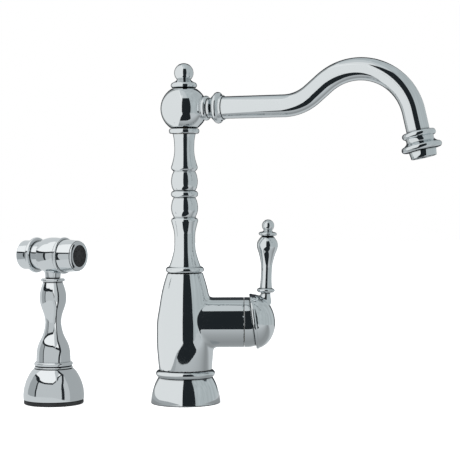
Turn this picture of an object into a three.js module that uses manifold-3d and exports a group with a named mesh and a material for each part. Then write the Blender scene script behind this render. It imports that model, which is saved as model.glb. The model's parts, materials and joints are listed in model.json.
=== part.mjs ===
// A single lever kitchen faucet with a swan neck spout, and its separate side spray in a deck holder.
// Millimetres, +Z up. The origin is on the faucet column's axis, at deck level; +X points to the lever.

import * as THREE from "three";
import { mergeVertices } from "three/addons/utils/BufferGeometryUtils.js";
import Module from "manifold-3d";

const wasm = await Module();
wasm.setup();

// ---- Fits that every joint between two pieces uses
const seatGap = 0.3; // between faces that rest on each other
const slideGap = 0.3; // around spigots, stems and pins
const cut = 1; // how far a cutting tool runs past the face it opens

// ---- Sides of the turned pieces
const wideSides = 20;
const slimSides = 14;
const hiddenSides = 10;
const boreSides = 8;

// ---- Faucet base and body
const base = { footRadius: 33, flareHeight: 25, beadHeight: 6.3, neckRadius: 25.4, beadRadius: 28.2, bore: 22 };
const baseGasket = { innerRadius: 26.8, width: 3.4, thickness: 2 };
const body = { height: 92.2, shoulderRadius: 25.2, topRadius: 16.9 };
const waterway = { radius: 2.4, offset: 7.5, inletDrop: 4, outletLift: 8, riserRadius: 4.6, sprayRadius: 2 };
const hoseSocket = { radius: 5, depth: 15, offset: 9.5 };
const sideSocket = { radius: 4, depth: 14, offset: 12.2 };
const spigot = { radius: 10, length: 14.2 };

// ---- Turned column, its finial and the ball that carries the spout
const columnFoot = { height: 5.6, neckRadius: 15.4, beadRadius: 18.1 };
const columnBead = { height: 6.1, neckRadius: 10.3, beadRadius: 12.8 };
const columnBore = 4.6;
const collar = { height: 4.7, neckRadius: 13, beadRadius: 14.4 };
const post = { radius: 8, threadRadius: 6.6, threadLength: 13, above: 27, bore: 3.5 };
const thrustWasher = { radius: 11, thickness: 1 };
const ball = { radius: 22.3, lowerCut: 18.4, upperCut: 18.9 };
const waterRoom = { radius: 11, below: 6, above: 2 }; // round the post, at the ball's middle
const finial = { footRadius: 10.7, neckRadius: 6.6, ballRadius: 9.15, skirtRadius: 9.5, skirtLength: 7.8 };
const keeper = { radius: 9, thickness: 1.5, screwRadius: 2.8, headRadius: 4.8, headHeight: 4, screwLength: 8 };

// ---- Swan neck spout, drawn in its own plane: out along the plane and up
const spoutYaw = 20; // degrees towards the front
const spoutRise = 0.35; // slope of the first run, in degrees
const spoutClimb = 40; // slope of the run between the two bends
const spoutDrop = 77; // slope of the last run, downwards
const tube = { radius: 10.5, bore: 9 };
const tubeRuns = { first: 65.9, middle: 15, last: 24 };
const tubeBends = { lower: 43.7, crown: 51.5 };
const socketRing = { root: 12, bore: 8, start: 19.9, end: 24.9, neckRadius: 9.6, radius: 11.7 };
const spoutCollar = { bore: 4.8, neckRadius: 9.2, rimRadius: 12.9, beadRadius: 14.8, lipRadius: 11.7 };
const collarSpigot = { start: 13, radius: 6.7 };
const collarLengths = { flare: 7, bead: 4.8, lip: 1, socketFloor: 7.8, socket: 7.2 };

// ---- Aerator at the spout's end, measured down the flow from the tube's end
const housing = { top: -5.7, ledge: 2.5, thread: 10.6 };
const housingRadii = { topBead: 15.35, topNeck: 13, lowerNeck: 15.8, lowerBead: 18.4 };
const housingLengths = { topBead: 5.4, waist: 6.3, lowerBead: 5.4 };
const aeratorWasher = { bore: 7, thickness: 1.7 };
const nozzle = { length: 6.5, topRadius: 12.4, tipRadius: 11.3, bore: 9.2, mouth: 8.4, lip: 1.6 };
const screen = { thickness: 3.2, holeRadius: 1.7, holePitch: 5 };

// ---- Side arm with the mixing cartridge, measured out from the column axis
const arm = { height: 76.5, radius: 23.8, length: 55.9, cavityDepth: 31.9, cavityRadius: 18.3 };
const bonnet = { wall: 1.8, holeAngle: 34 }; // the hole's half angle, seen from the lever's pin
const cartridge = { baseThickness: 3.7, wall: 3.2, endWall: 2 };
const discs = { thickness: 3, fixedRadius: 13.5, slidingRadius: 10.6 };
const retainer = { length: 6.6, innerRadius: 11.4 };
const turret = { neckRadius: 9.5, shoulder: 10.3, reach: 5, slotHalfWidth: 3.4, playInShell: 0.5 };
const pin = { radius: 1.5, halfLength: 8.6 };

// ---- Lever: it rocks on a pin across the arm, and its stick stands out and up from that pin
const pivotReach = 3.1; // from the arm's end to the pin
const leverTilt = 7.5; // degrees that the closed dome points above level
const dome = { radius: 26.1, height: 21.1, wall: 1.5, standOff: 5.4, hubRadius: 6, hubLength: 11.5 };
const spindle = { radius: 3, tail: 14, reach: 22.5 };
const stick = { lean: 2.3, footOut: 17.4, footUp: 21.4, neckRadius: 4.6, neckHeight: 6.7 };
const tenon = { radius: 2.7, length: 7 };
const setScrew = { radius: 2.2, length: 6, place: 17.5 };

// ---- Diverter that sends water to the side spray, inside the body
const diverter = { chamberRadius: 8.3, chamberHeight: 12.2, seatHeight: 3, seatBore: 4.2, sprayPort: 6.5 };
const poppet = { radius: 6.2, height: 2, stemRadius: 1.6, stemAbove: 2 };

// ---- Side spray holder
const sprayX = -125.7;
const holderGasket = { radius: 28.3, height: 4, bore: 16 };
const holder = { height: 29.1, cavity: 24, cavityHeight: 5.4 };
const bush = { radius: 15, bore: 10.6, flangeRadius: 19, flangeHeight: 2.4 };
const coupling = { radius: 10.3, flangeRadius: 18.3, flangeHeight: 2, bore: 4.5 };
const nipple = { radius: 7.5, length: 10 };
const nippleSeal = { level: 3.6, height: 1.8, inner: 6.1 };
const snapRing = { level: 7.4, height: 1.2, inner: 6.5, outer: 8.6, opening: 40 };

// ---- Handset
const handle = { beadHeight: 4, beadRadius: 18.4, neckRadius: 16.5, lowerHeight: 37, upperHeight: 39, bore: 4 };
const handleCollar = { radius: 11.4, thickness: 2.8 };
const headYaw = 31; // degrees that the nozzle turns towards the front
const headLift = 21.9; // from the collar's top to the barrel's axis
const head = { barrelRadius: 17, endRadius: 15.4, frontEnd: 11.7, neckTop: -12.5 };
const headNeck = { footRadius: 7.2, topRadius: 8, tenonRadius: 6, tenonLength: 17 };
const rear = { neckRadius: 13.3, neckLength: 8.5, neckEnd: -17, bore: 11.5 };
const rearRing = { radius: 16.9, width: 3.9, bore: 14.1, plugLength: 5 };
const valve = { seatBack: 2, seatFront: 6, seatBore: 4, stemRadius: 2.2, stemTip: 1.5 };
const valveSeal = { radius: 6.5, thickness: 2 };
const button = { radius: 13.8, length: 14.1, wall: 2, crown: 0.6, travel: 3, bossRadius: 4.6, bossLength: 4 };
const frontRing = { radius: 17.3, width: 3.2, bore: 12.3 };
const front = { radius: 15.5, tipRadius: 14.4, length: 14.2, plugLength: 1.5, bore: 8, pocket: 2.4 };
const bezel = { radius: 13.9, width: 1.9, bore: 10.3 };
const sprayFace = { radius: 10, thickness: 4, flangeRadius: 11.2, jets: 8, jetCircle: 6, jetRadius: 0.8 };

// ---- Finishes
const finish = (color, roughness, metalness) => new THREE.MeshStandardMaterial({ color, roughness, metalness });
const chrome = finish(0xd5dadc, 0.08, 1);
const brass = finish(0xb08d4f, 0.35, 1);
const steel = finish(0xa9adb0, 0.3, 1);
const ceramic = finish(0xe8e4da, 0.35, 0);
const plastic = finish(0xd9dad7, 0.5, 0);
const rubber = finish(0x1b1d1f, 0.8, 0);

const radians = THREE.MathUtils.degToRad;

// ---- Turned outlines: lists of [radius, height] corners

// A stretch whose radii are evenly spaced over its height, joined by a smooth curve.
function swell(height, radii, pieces) {
  const points = (level) => {
    const step = height / (radii.length - 1);
    const knots = radii.map((radius, i) => new THREE.Vector2(radius, level + step * i));
    return new THREE.SplineCurve(knots).getPoints(pieces).map((point) => [point.x, point.y]);
  };
  return { height, points };
}

// A half-round bead that stands out of its neck.
function bead(height, neckRadius, crestRadius, pieces = 4) {
  const points = (level) => {
    const corners = [];
    for (let i = 0; i <= pieces; i += 1) {
      const turn = (Math.PI * i) / pieces;
      const radius = neckRadius + (crestRadius - neckRadius) * Math.sin(turn);
      corners.push([radius, level + (height * (1 - Math.cos(turn))) / 2]);
    }
    return corners;
  };
  return { height, points };
}

// Stretches set on each other from the given level up.
function stack(foot, stretches) {
  let level = foot;
  const outline = [];
  for (const stretch of stretches) {
    outline.push(...stretch.points(level));
    level += stretch.height;
  }
  return outline;
}

const heightOf = (stretches) => stretches.reduce((sum, stretch) => sum + stretch.height, 0);

// A round arc about a centre on the axis, between two angles above level.
function roundArc(radius, centre, fromDegrees, toDegrees, pieces, flatten = 1) {
  const corners = [];
  for (let i = 0; i <= pieces; i += 1) {
    const angle = radians(fromDegrees + ((toDegrees - fromDegrees) * i) / pieces);
    corners.push([radius * Math.cos(angle), centre + radius * flatten * Math.sin(angle)]);
  }
  return corners;
}

// A solid of revolution about Z. An outline off the axis closes on itself as a ring.
function turned(outline, sides = slimSides) {
  const points = [];
  for (const [radius, height] of outline) {
    const point = new THREE.Vector2(Math.abs(radius) < 1e-6 ? 0 : radius, height);
    const last = points.at(-1);
    if (!last || last.distanceTo(point) > 1e-4) points.push(point);
  }
  const faced = THREE.ShapeUtils.area(points) < 0 ? points.reverse() : points;
  if (faced[0].x > 0 || faced.at(-1).x > 0) faced.push(faced[0].clone());
  return new THREE.LatheGeometry(faced, sides).rotateX(Math.PI / 2);
}

const disc = (radius, foot, top, sides) =>
  turned([[0, foot], [radius, foot], [radius, top], [0, top]], sides);

const ring = (innerRadius, outerRadius, foot, top, sides) =>
  turned([[innerRadius, foot], [outerRadius, foot], [outerRadius, top], [innerRadius, top]], sides);

// ---- Joining and cutting

function solid(geometry) {
  const bare = geometry.clone();
  bare.deleteAttribute("normal");
  bare.deleteAttribute("uv");
  const merged = mergeVertices(bare, 1e-4);
  const triVerts = Uint32Array.from(merged.index.array);
  const vertProperties = merged.attributes.position.array;
  return new wasm.Manifold(new wasm.Mesh({ numProp: 3, vertProperties, triVerts }));
}

function surface(manifold) {
  const mesh = manifold.getMesh();
  const geometry = new THREE.BufferGeometry();
  geometry.setAttribute("position", new THREE.BufferAttribute(mesh.vertProperties, 3));
  geometry.setIndex(new THREE.BufferAttribute(mesh.triVerts, 1));
  return geometry;
}

// Adds the joined pieces to the first solid, then takes the cutters away.
function shaped(geometry, joined, cutters) {
  let made = solid(geometry);
  for (const piece of joined) made = made.add(solid(piece));
  for (const cutter of cutters) made = made.subtract(solid(cutter));
  return surface(made);
}

// Lays a piece turned about Z along +X instead.
const alongX = (geometry) => geometry.rotateY(Math.PI / 2);

// Lays a piece turned about Z along +Y instead.
const alongY = (geometry) => geometry.rotateX(-Math.PI / 2);

const bar = (low, high) =>
  new THREE.BoxGeometry(high[0] - low[0], high[1] - low[1], high[2] - low[2]).translate(
    (low[0] + high[0]) / 2,
    (low[1] + high[1]) / 2,
    (low[2] + high[2]) / 2,
  );

// A round wire wound about Z, from the foot up.
class Helix extends THREE.Curve {
  constructor(radius, foot, height, turns) {
    super();
    Object.assign(this, { radius, foot, height, turns });
  }

  getPoint(t, target = new THREE.Vector3()) {
    const angle = 2 * Math.PI * this.turns * t;
    const z = this.foot + this.height * t;
    return target.set(this.radius * Math.cos(angle), this.radius * Math.sin(angle), z);
  }
}

function coilSpring(radius, wire, foot, top, turns) {
  const section = new THREE.Shape().absarc(0, 0, wire, 0, 2 * Math.PI);
  const extrudePath = new Helix(radius, foot + wire * 1.2, top - foot - wire * 2.4, turns);
  const steps = turns * 8;
  return new THREE.ExtrudeGeometry(section, { steps, curveSegments: 3, bevelEnabled: false, extrudePath });
}

// ---- The scene graph

const faucet = new THREE.Group();

function add(name, geometry, material, parent = faucet) {
  const mesh = new THREE.Mesh(geometry, material);
  mesh.name = name;
  parent.add(mesh);
  return mesh;
}

function frameAt(x, y, z, parent = faucet) {
  const group = new THREE.Group();
  group.position.set(x, y, z);
  parent.add(group);
  return group;
}

// ---- Base flange: a turned foot with a bead, on a rubber gasket let into its underside
const baseTop = base.flareHeight + base.beadHeight;
const baseForm = [
  swell(base.flareHeight, [base.footRadius, 32.4, 31.0, 28.9, base.neckRadius + 0.2], 6),
  bead(base.beadHeight, base.neckRadius, base.beadRadius),
];
const gasketOuter = baseGasket.innerRadius + baseGasket.width;
const gasketGroove = ring(
  baseGasket.innerRadius - slideGap,
  gasketOuter + slideGap,
  -cut,
  baseGasket.thickness + seatGap,
  wideSides,
);
const baseFlange = turned([[base.bore, 0], ...stack(0, baseForm), [base.bore, baseTop]], wideSides);
add("base_flange", shaped(baseFlange, [], [gasketGroove]), chrome);
const gasketShape = ring(baseGasket.innerRadius, gasketOuter, 0, baseGasket.thickness, wideSides);
add("base_gasket", gasketShape, rubber);

// ---- Body: one casting of foot, barrel and side arm, drilled for the hoses, the waterways and the cartridge
const bodyFoot = baseTop + seatGap;
const bodyTop = bodyFoot + body.height;
const bodyRadii = [body.shoulderRadius, 26.15, 27.0, 27.1, 26.75, 24.9, 23.0, 20.45, body.topRadius];
const barrel = turned(
  [
    [0, 0],
    [base.bore - slideGap, 0],
    [base.bore - slideGap, bodyFoot],
    ...stack(bodyFoot, [swell(body.height, bodyRadii, 10)]),
    [0, bodyTop],
  ],
  wideSides,
);
const cavityFloor = arm.length - arm.cavityDepth;
const armBoss = alongX(disc(arm.radius, 0, arm.length, wideSides)).translate(0, 0, arm.height);
const armCavity = alongX(disc(arm.cavityRadius, cavityFloor, arm.length + cut, wideSides));
const columnSocketFoot = bodyTop - spigot.length;
const chamberFoot = columnSocketFoot - diverter.chamberHeight;
const sprayPort = chamberFoot + diverter.sprayPort;
const armBore = (radius, from, to, y, z) =>
  alongX(disc(radius, from, to, boreSides)).translate(0, y, arm.height + z);
const upright = (radius, foot, top, x, y) => disc(radius, foot, top, boreSides).translate(x, y, 0);
const bodyCutters = [
  armCavity.translate(0, 0, arm.height),
  disc(spigot.radius + slideGap, columnSocketFoot, bodyTop + cut, slimSides),
  disc(diverter.chamberRadius, chamberFoot, columnSocketFoot + cut, slimSides),
  disc(waterway.riserRadius, arm.height + waterway.outletLift - waterway.radius, chamberFoot + cut, boreSides),
  armBore(waterway.radius, 0, cavityFloor + cut, 0, waterway.outletLift),
  upright(sideSocket.radius, -cut, sideSocket.depth, sideSocket.offset, 0),
  upright(sideSocket.radius, -cut, sideSocket.depth, -sideSocket.offset, 0),
  upright(waterway.sprayRadius, sideSocket.depth - cut, sprayPort, -sideSocket.offset, 0),
  alongX(disc(waterway.sprayRadius, -sideSocket.offset - waterway.sprayRadius, 0, boreSides)).translate(
    0,
    0,
    sprayPort,
  ),
];
for (const side of [-1, 1]) {
  const y = side * waterway.offset;
  bodyCutters.push(
    upright(hoseSocket.radius, -cut, hoseSocket.depth, 0, side * hoseSocket.offset),
    upright(waterway.radius, hoseSocket.depth - cut, arm.height - waterway.inletDrop, 0, y),
    armBore(waterway.radius, -waterway.radius, cavityFloor + cut, y, -waterway.inletDrop),
  );
}
add("faucet_body", shaped(barrel, [armBoss], bodyCutters), chrome);

// ---- Diverter: a sprung poppet over a seat, between the mixing outlet and the column
const seatTop = chamberFoot + seatGap + diverter.seatHeight;
const poppetFoot = seatTop + seatGap;
const poppetTop = poppetFoot + poppet.height;
const stemTop = columnSocketFoot + poppet.stemAbove;
const seatRadius = diverter.chamberRadius - slideGap;
add("diverter_seat", ring(diverter.seatBore, seatRadius, chamberFoot + seatGap, seatTop, slimSides), brass);
add(
  "diverter_poppet",
  turned([
    [0, poppetFoot],
    [poppet.radius, poppetFoot],
    [poppet.radius, poppetTop],
    [poppet.stemRadius, poppetTop],
    [poppet.stemRadius, stemTop],
    [0, stemTop],
  ]),
  plastic,
);
add("diverter_spring", coilSpring(5.4, 0.45, poppetTop, columnSocketFoot, 3), steel);

// ---- Column: one turned piece, screwed into the body, with a bead at its foot and two bulbs half way up
const columnFootLevel = bodyTop + seatGap;
const columnForm = [
  bead(columnFoot.height, columnFoot.neckRadius, columnFoot.beadRadius),
  swell(42.3, [15.1, 13.1, 11.5, 10.3, 9.9, 9.75, 10.0, 11.0, 12.4], 8),
  swell(4.6, [12.4, 12.7, 12.2, columnBead.neckRadius], 3),
  swell(19, [columnBead.neckRadius, 11.7, 12.55, 12.75, 12.4, 11.65, columnBead.neckRadius], 6),
  bead(columnBead.height, columnBead.neckRadius, columnBead.beadRadius),
  swell(18.5, [columnBead.neckRadius, 11.75, 12.4, 12.65, 12.3, 11.65, columnBead.neckRadius], 6),
  swell(5.7, [columnBead.neckRadius, 12.1, 12.65, 12.1], 3),
  swell(29.8, [12.1, 10.7, 9.75, 9.35, 9.5, 9.85, 10.9], 6),
];
const columnTop = columnFootLevel + heightOf(columnForm);
const postFoot = columnTop - post.threadLength;
const columnOutline = [
  [columnBore, columnFootLevel - spigot.length],
  [spigot.radius, columnFootLevel - spigot.length],
  [spigot.radius, columnFootLevel],
  ...stack(columnFootLevel, columnForm),
  [post.threadRadius + slideGap, columnTop],
  [post.threadRadius + slideGap, postFoot - seatGap],
  [columnBore, postFoot - seatGap],
];
add("column", turned(columnOutline, slimSides), chrome);

// ---- Swivel post: screwed into the column, it carries the collar, the turning ball and the finial's screw
const collarFoot = columnTop + seatGap;
const collarTop = collarFoot + collar.height;
const ballFoot = collarTop + seatGap + 0.1;
const ballCentre = ballFoot + ball.lowerCut;
const ballTop = ballCentre + ball.upperCut;
const postTop = collarTop + post.above;
const portLevel = ballCentre - 2;
const sealHeight = 1.8;
const sealLevels = [collarTop + 6, ballCentre + 4.6];
const sealGroove = post.radius - 1.4;
const postOutline = [[0, postFoot], [post.threadRadius, postFoot], [post.threadRadius, columnTop + seatGap]];
postOutline.push([post.radius, columnTop + seatGap]);
for (const level of sealLevels) {
  postOutline.push(
    [post.radius, level - slideGap],
    [sealGroove, level - slideGap],
    [sealGroove, level + sealHeight + slideGap],
    [post.radius, level + sealHeight + slideGap],
  );
}
postOutline.push([post.radius, postTop], [0, postTop]);
const postCutters = [
  disc(post.bore, postFoot - cut, portLevel + 2, boreSides),
  alongX(disc(2.4, -post.radius - cut, post.radius + cut, boreSides)).translate(0, 0, portLevel),
  disc(keeper.screwRadius + slideGap, postTop - keeper.screwLength - seatGap, postTop + cut, boreSides),
];
const postHole = post.radius + slideGap;
const collarForm = stack(collarFoot, [bead(collar.height, collar.neckRadius, collar.beadRadius)]);
add("swivel_collar", turned([[postHole, collarFoot], ...collarForm, [postHole, collarTop]], wideSides), chrome);
add("swivel_post", shaped(turned(postOutline), [], postCutters), brass);
sealLevels.forEach((level, i) => {
  const names = ["lower_swivel_seal", "upper_swivel_seal"];
  add(names[i], ring(sealGroove + slideGap, post.radius, level, level + sealHeight, slimSides), rubber);
});
const washerFoot = collarTop + seatGap;
const washerTopLevel = washerFoot + thrustWasher.thickness;
const thrustShape = ring(postHole, thrustWasher.radius, washerFoot, washerTopLevel, slimSides);
add("swivel_thrust_washer", thrustShape, plastic);
const keeperFoot = postTop + seatGap;
const keeperTop = keeperFoot + keeper.thickness;
const keeperHole = keeper.screwRadius + slideGap;
add("retaining_washer", ring(keeperHole, keeper.radius, keeperFoot, keeperTop, slimSides), steel);
const headFoot = keeperTop + seatGap;
add(
  "retaining_screw",
  turned([
    [0, postTop - keeper.screwLength],
    [keeper.screwRadius, postTop - keeper.screwLength],
    [keeper.screwRadius, headFoot],
    [keeper.headRadius, headFoot],
    [keeper.headRadius, headFoot + keeper.headHeight],
    [0, headFoot + keeper.headHeight],
  ]),
  steel,
);

// ---- Spout: ball, collar, bent tube and aerator turn together about the column axis
const spout = frameAt(0, 0, 0);
spout.rotation.z = -radians(spoutYaw);
const spoutRoot = frameAt(0, 0, ballCentre, spout);
spoutRoot.rotation.y = Math.PI / 2 - radians(spoutRise);

const ballLow = -Math.asin(ball.lowerCut / ball.radius) * THREE.MathUtils.RAD2DEG;
const ballHigh = Math.asin(ball.upperCut / ball.radius) * THREE.MathUtils.RAD2DEG;
const ballShape = turned(
  [[0, ballFoot], ...roundArc(ball.radius, ballCentre, ballLow, ballHigh, 12), [0, ballTop]],
  wideSides,
);
const riseAlongX = (geometry) => geometry.rotateY(Math.PI / 2 - radians(spoutRise)).translate(0, 0, ballCentre);
const socketWidth = socketRing.end - socketRing.start;
const socketShape = turned([
  [0, socketRing.root],
  [socketRing.neckRadius, socketRing.root],
  [socketRing.neckRadius, socketRing.start],
  ...stack(socketRing.start, [bead(socketWidth, socketRing.neckRadius, socketRing.radius, 4)]),
  [0, socketRing.end],
]);
const ballCutters = [
  disc(post.radius + slideGap, ballFoot - cut, ballTop, slimSides),
  disc(thrustWasher.radius + slideGap, ballFoot - cut, washerTopLevel + seatGap, slimSides),
  disc(waterRoom.radius, ballCentre - waterRoom.below, ballCentre + waterRoom.above, slimSides),
  disc(finial.skirtRadius + slideGap, postTop, ballTop + cut, slimSides),
  riseAlongX(disc(collarSpigot.radius + slideGap, socketRing.bore, socketRing.end + cut, slimSides)),
];
add("spout_ball", shaped(ballShape, [riseAlongX(socketShape)], ballCutters), chrome, spout);

const finialFoot = ballTop + seatGap;
const finialForm = [
  swell(5.2, [finial.footRadius, 12.0, 12.3, 11.3], 4),
  swell(3.2, [11.3, 8.2, finial.neckRadius], 2),
];
const finialNeckLevel = finialFoot + heightOf(finialForm);
const finialBall = finialNeckLevel + Math.sqrt(finial.ballRadius ** 2 - finial.neckRadius ** 2);
const neckAngle = -Math.acos(finial.neckRadius / finial.ballRadius) * THREE.MathUtils.RAD2DEG;
const skirtFoot = finialFoot - finial.skirtLength;
const skirtBore = finial.skirtRadius - 2.2;
add(
  "finial",
  turned([
    [0, finialFoot + 1.5],
    [skirtBore, finialFoot + 1.5],
    [skirtBore, skirtFoot],
    [finial.skirtRadius, skirtFoot],
    [finial.skirtRadius, finialFoot],
    ...stack(finialFoot, finialForm),
    ...roundArc(finial.ballRadius, finialBall, neckAngle, 90, 8),
  ]),
  chrome,
  spout,
);

// The spout's line in its own plane: straight, bend up, straight, bend over the crown, straight down
class SwanNeck extends THREE.Curve {
  constructor(start, slope, stretches) {
    super();
    this.start = start;
    this.slope = slope;
    this.stretches = stretches;
    this.total = stretches.reduce((sum, stretch) => sum + stretch.length, 0);
  }

  // The point and the slope after a length of tube.
  at(length) {
    let [x, z] = this.start;
    let slope = this.slope;
    let left = length;
    for (const stretch of this.stretches) {
      const part = Math.max(0, Math.min(left, stretch.length));
      left -= part;
      if (stretch.radius) {
        const turn = part / stretch.radius;
        x += stretch.radius * (Math.sin(slope + turn) - Math.sin(slope));
        z += stretch.radius * (Math.cos(slope) - Math.cos(slope + turn));
        slope += turn;
      } else {
        x += part * Math.cos(slope);
        z += part * Math.sin(slope);
      }
    }
    return { x, z, slope };
  }

  getPoint(t, target = new THREE.Vector3()) {
    const { x, z } = this.at(t * this.total);
    return target.set(x, 0, z);
  }
}

const straight = (length) => ({ length, radius: 0 });
const bend = (radius, degrees) => {
  const length = radius * radians(Math.abs(degrees));
  return { length, radius: radius * Math.sign(degrees) };
};
const collarStart = socketRing.end + seatGap;
const socketFloor = collarStart + collarLengths.socketFloor;
const tubeStart = socketFloor + seatGap;
const tubeLine = new SwanNeck(
  [tubeStart * Math.cos(radians(spoutRise)), ballCentre + tubeStart * Math.sin(radians(spoutRise))],
  radians(spoutRise),
  [
    straight(tubeRuns.first),
    bend(tubeBends.lower, spoutClimb - spoutRise),
    straight(tubeRuns.middle),
    bend(tubeBends.crown, -spoutClimb - spoutDrop),
    straight(tubeRuns.last),
  ],
);
const tubeSection = new THREE.Shape().absarc(0, 0, tube.radius, 0, 2 * Math.PI);
const boreCorners = [];
for (let i = 0; i < hiddenSides; i += 1) {
  const angle = (2 * Math.PI * i) / hiddenSides;
  boreCorners.push(new THREE.Vector2(tube.bore * Math.cos(angle), tube.bore * Math.sin(angle)));
}
tubeSection.holes.push(new THREE.Path(boreCorners));
const tubeSteps = 28;
add(
  "spout_tube",
  new THREE.ExtrudeGeometry(tubeSection, {
    steps: tubeSteps,
    curveSegments: 8,
    bevelEnabled: false,
    extrudePath: tubeLine,
  }),
  chrome,
  spout,
);

// Spout collar: screwed into the ball's socket, with the tube brazed into its other end
const collarEnd = socketFloor + collarLengths.socket;
const spoutCollarForm = [
  swell(collarLengths.flare, [spoutCollar.neckRadius, 9.5, 11.2, 13.5], 4),
  bead(collarLengths.bead, spoutCollar.rimRadius, spoutCollar.beadRadius, 5),
  swell(collarLengths.lip, [spoutCollar.rimRadius, spoutCollar.lipRadius], 1),
];
add(
  "spout_collar",
  turned([
    [spoutCollar.bore, collarSpigot.start],
    [collarSpigot.radius, collarSpigot.start],
    [collarSpigot.radius, collarStart],
    ...stack(collarStart, spoutCollarForm),
    [spoutCollar.lipRadius, collarEnd],
    [tube.radius + slideGap, collarEnd],
    [tube.radius + slideGap, socketFloor],
    [tube.bore, socketFloor],
    [spoutCollar.bore, collarStart + 1],
  ]),
  chrome,
  spoutRoot,
);

// ---- Aerator: housing on the tube's end, a rubber washer, a screw-in nozzle and its screen
const tubeEnd = tubeLine.at(tubeLine.total);
const outlet = frameAt(tubeEnd.x, 0, tubeEnd.z, spout);
outlet.rotation.y = Math.PI / 2 - tubeEnd.slope;
const housingForm = [
  bead(housingLengths.topBead, housingRadii.topNeck, housingRadii.topBead, 5),
  swell(housingLengths.waist, [housingRadii.topNeck, 12.6, 13.2, housingRadii.lowerNeck], 4),
  bead(housingLengths.lowerBead, housingRadii.lowerNeck, housingRadii.lowerBead, 5),
];
const housingEnd = housing.top + heightOf(housingForm);
add(
  "aerator_housing",
  turned(
    [
      [tube.radius + slideGap, housing.top],
      ...stack(housing.top, housingForm),
      [housing.thread, housingEnd],
      [housing.thread, housing.ledge],
      [tube.bore, housing.ledge],
      [tube.bore, seatGap],
      [tube.radius + slideGap, seatGap],
    ],
    wideSides,
  ),
  chrome,
  outlet,
);
const washerTop = housing.ledge + seatGap;
const washerEnd = washerTop + aeratorWasher.thickness;
const nozzleTop = washerEnd + seatGap;
const nozzleThread = housing.thread - slideGap;
const nozzleShoulder = housingEnd + seatGap;
const nozzleEnd = nozzleShoulder + nozzle.length;
add("aerator_washer", ring(aeratorWasher.bore, nozzleThread, washerTop, washerEnd, slimSides), rubber, outlet);
add(
  "aerator_nozzle",
  turned([
    [nozzle.bore, nozzleTop],
    [nozzleThread, nozzleTop],
    [nozzleThread, nozzleShoulder],
    [nozzle.topRadius, nozzleShoulder],
    [nozzle.tipRadius + 0.3, nozzleEnd - 0.6],
    [nozzle.tipRadius, nozzleEnd],
    [nozzle.mouth, nozzleEnd],
    [nozzle.mouth, nozzleEnd - nozzle.lip],
    [nozzle.bore, nozzleEnd - nozzle.lip],
  ]),
  chrome,
  outlet,
);
const screenEnd = nozzleEnd - nozzle.lip - seatGap;
const screenHoles = [];
for (let row = -1; row <= 1; row += 1) {
  const inRow = 3 - Math.abs(row);
  for (let i = 0; i < inRow; i += 1) {
    const x = (i - (inRow - 1) / 2) * screen.holePitch;
    const y = row * screen.holePitch * Math.sin(radians(60));
    screenHoles.push(disc(screen.holeRadius, -cut, screenEnd + cut, 6).translate(x, y, 0));
  }
}
const screenBlank = disc(nozzle.bore - slideGap, screenEnd - screen.thickness, screenEnd, slimSides);
add("aerator_screen", shaped(screenBlank, [], screenHoles), plastic, outlet);

// ---- Cartridge in the arm: drilled base, fixed disc and shell, held by a threaded ring
const armFrame = frameAt(0, 0, arm.height);
const leverPivot = arm.length + pivotReach;
armFrame.rotation.y = Math.PI / 2;
const partRadius = arm.cavityRadius - 0.5;
const baseFoot = cavityFloor + seatGap;
const baseEnd = baseFoot + cartridge.baseThickness;
const fixedFoot = baseEnd + seatGap;
const fixedEnd = fixedFoot + discs.thickness;
// In the arm's frame local x points down, so a port above the axis lies at negative x.
const portCutters = () => [
  disc(waterway.radius, 0, leverPivot, boreSides).translate(-waterway.outletLift, 0, 0),
  disc(waterway.radius, 0, leverPivot, boreSides).translate(waterway.inletDrop, waterway.offset, 0),
  disc(waterway.radius, 0, leverPivot, boreSides).translate(waterway.inletDrop, -waterway.offset, 0),
];
const cartridgeBlank = disc(partRadius, baseFoot, baseEnd, slimSides);
add("cartridge_base", shaped(cartridgeBlank, [], portCutters()), plastic, armFrame);
add(
  "fixed_ceramic_disc",
  shaped(disc(discs.fixedRadius, fixedFoot, fixedEnd, slimSides), [], portCutters()),
  ceramic,
  armFrame,
);
const slidingFoot = fixedEnd + seatGap;
const slidingEnd = slidingFoot + discs.thickness;
const driverFoot = slidingEnd + seatGap;
const driverPlateEnd = driverFoot + 3;
const turretFoot = driverPlateEnd + seatGap;
const tailPlace = leverPivot - spindle.tail;
const lugEnd = tailPlace + 1;
const shellInner = partRadius - cartridge.wall;
const turretShoulder = leverPivot - turret.shoulder;
const shellWall = turretShoulder + seatGap;
const shellEnd = shellWall + cartridge.endWall;
add(
  "cartridge_shell",
  turned(
    [
      [shellInner, fixedFoot],
      [partRadius, fixedFoot],
      [partRadius, shellEnd],
      [turret.neckRadius + slideGap, shellEnd],
      [turret.neckRadius + slideGap, shellWall],
      [shellInner, shellWall],
    ],
    slimSides,
  ),
  plastic,
  armFrame,
);
const retainerFoot = shellEnd + seatGap;
const retainerEnd = retainerFoot + retainer.length;
add(
  "cartridge_retaining_ring",
  ring(retainer.innerRadius, arm.cavityRadius - slideGap, retainerFoot, retainerEnd, slimSides),
  brass,
  armFrame,
);
// The bonnet is a hollow ball round the lever's pin, so that the lever's dome can rock over it.
const bonnetFoot = arm.length + seatGap;
const bonnetEdge = 90 - bonnet.holeAngle;
const bonnetInner = arm.radius - bonnet.wall;
add(
  "arm_bonnet",
  turned(
    [
      [bonnetInner, bonnetFoot],
      [arm.radius, bonnetFoot],
      ...roundArc(arm.radius, leverPivot, 0, bonnetEdge, 6),
      ...roundArc(bonnetInner, leverPivot, bonnetEdge, 0, 5),
    ],
    wideSides,
  ),
  chrome,
  armFrame,
);

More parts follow.
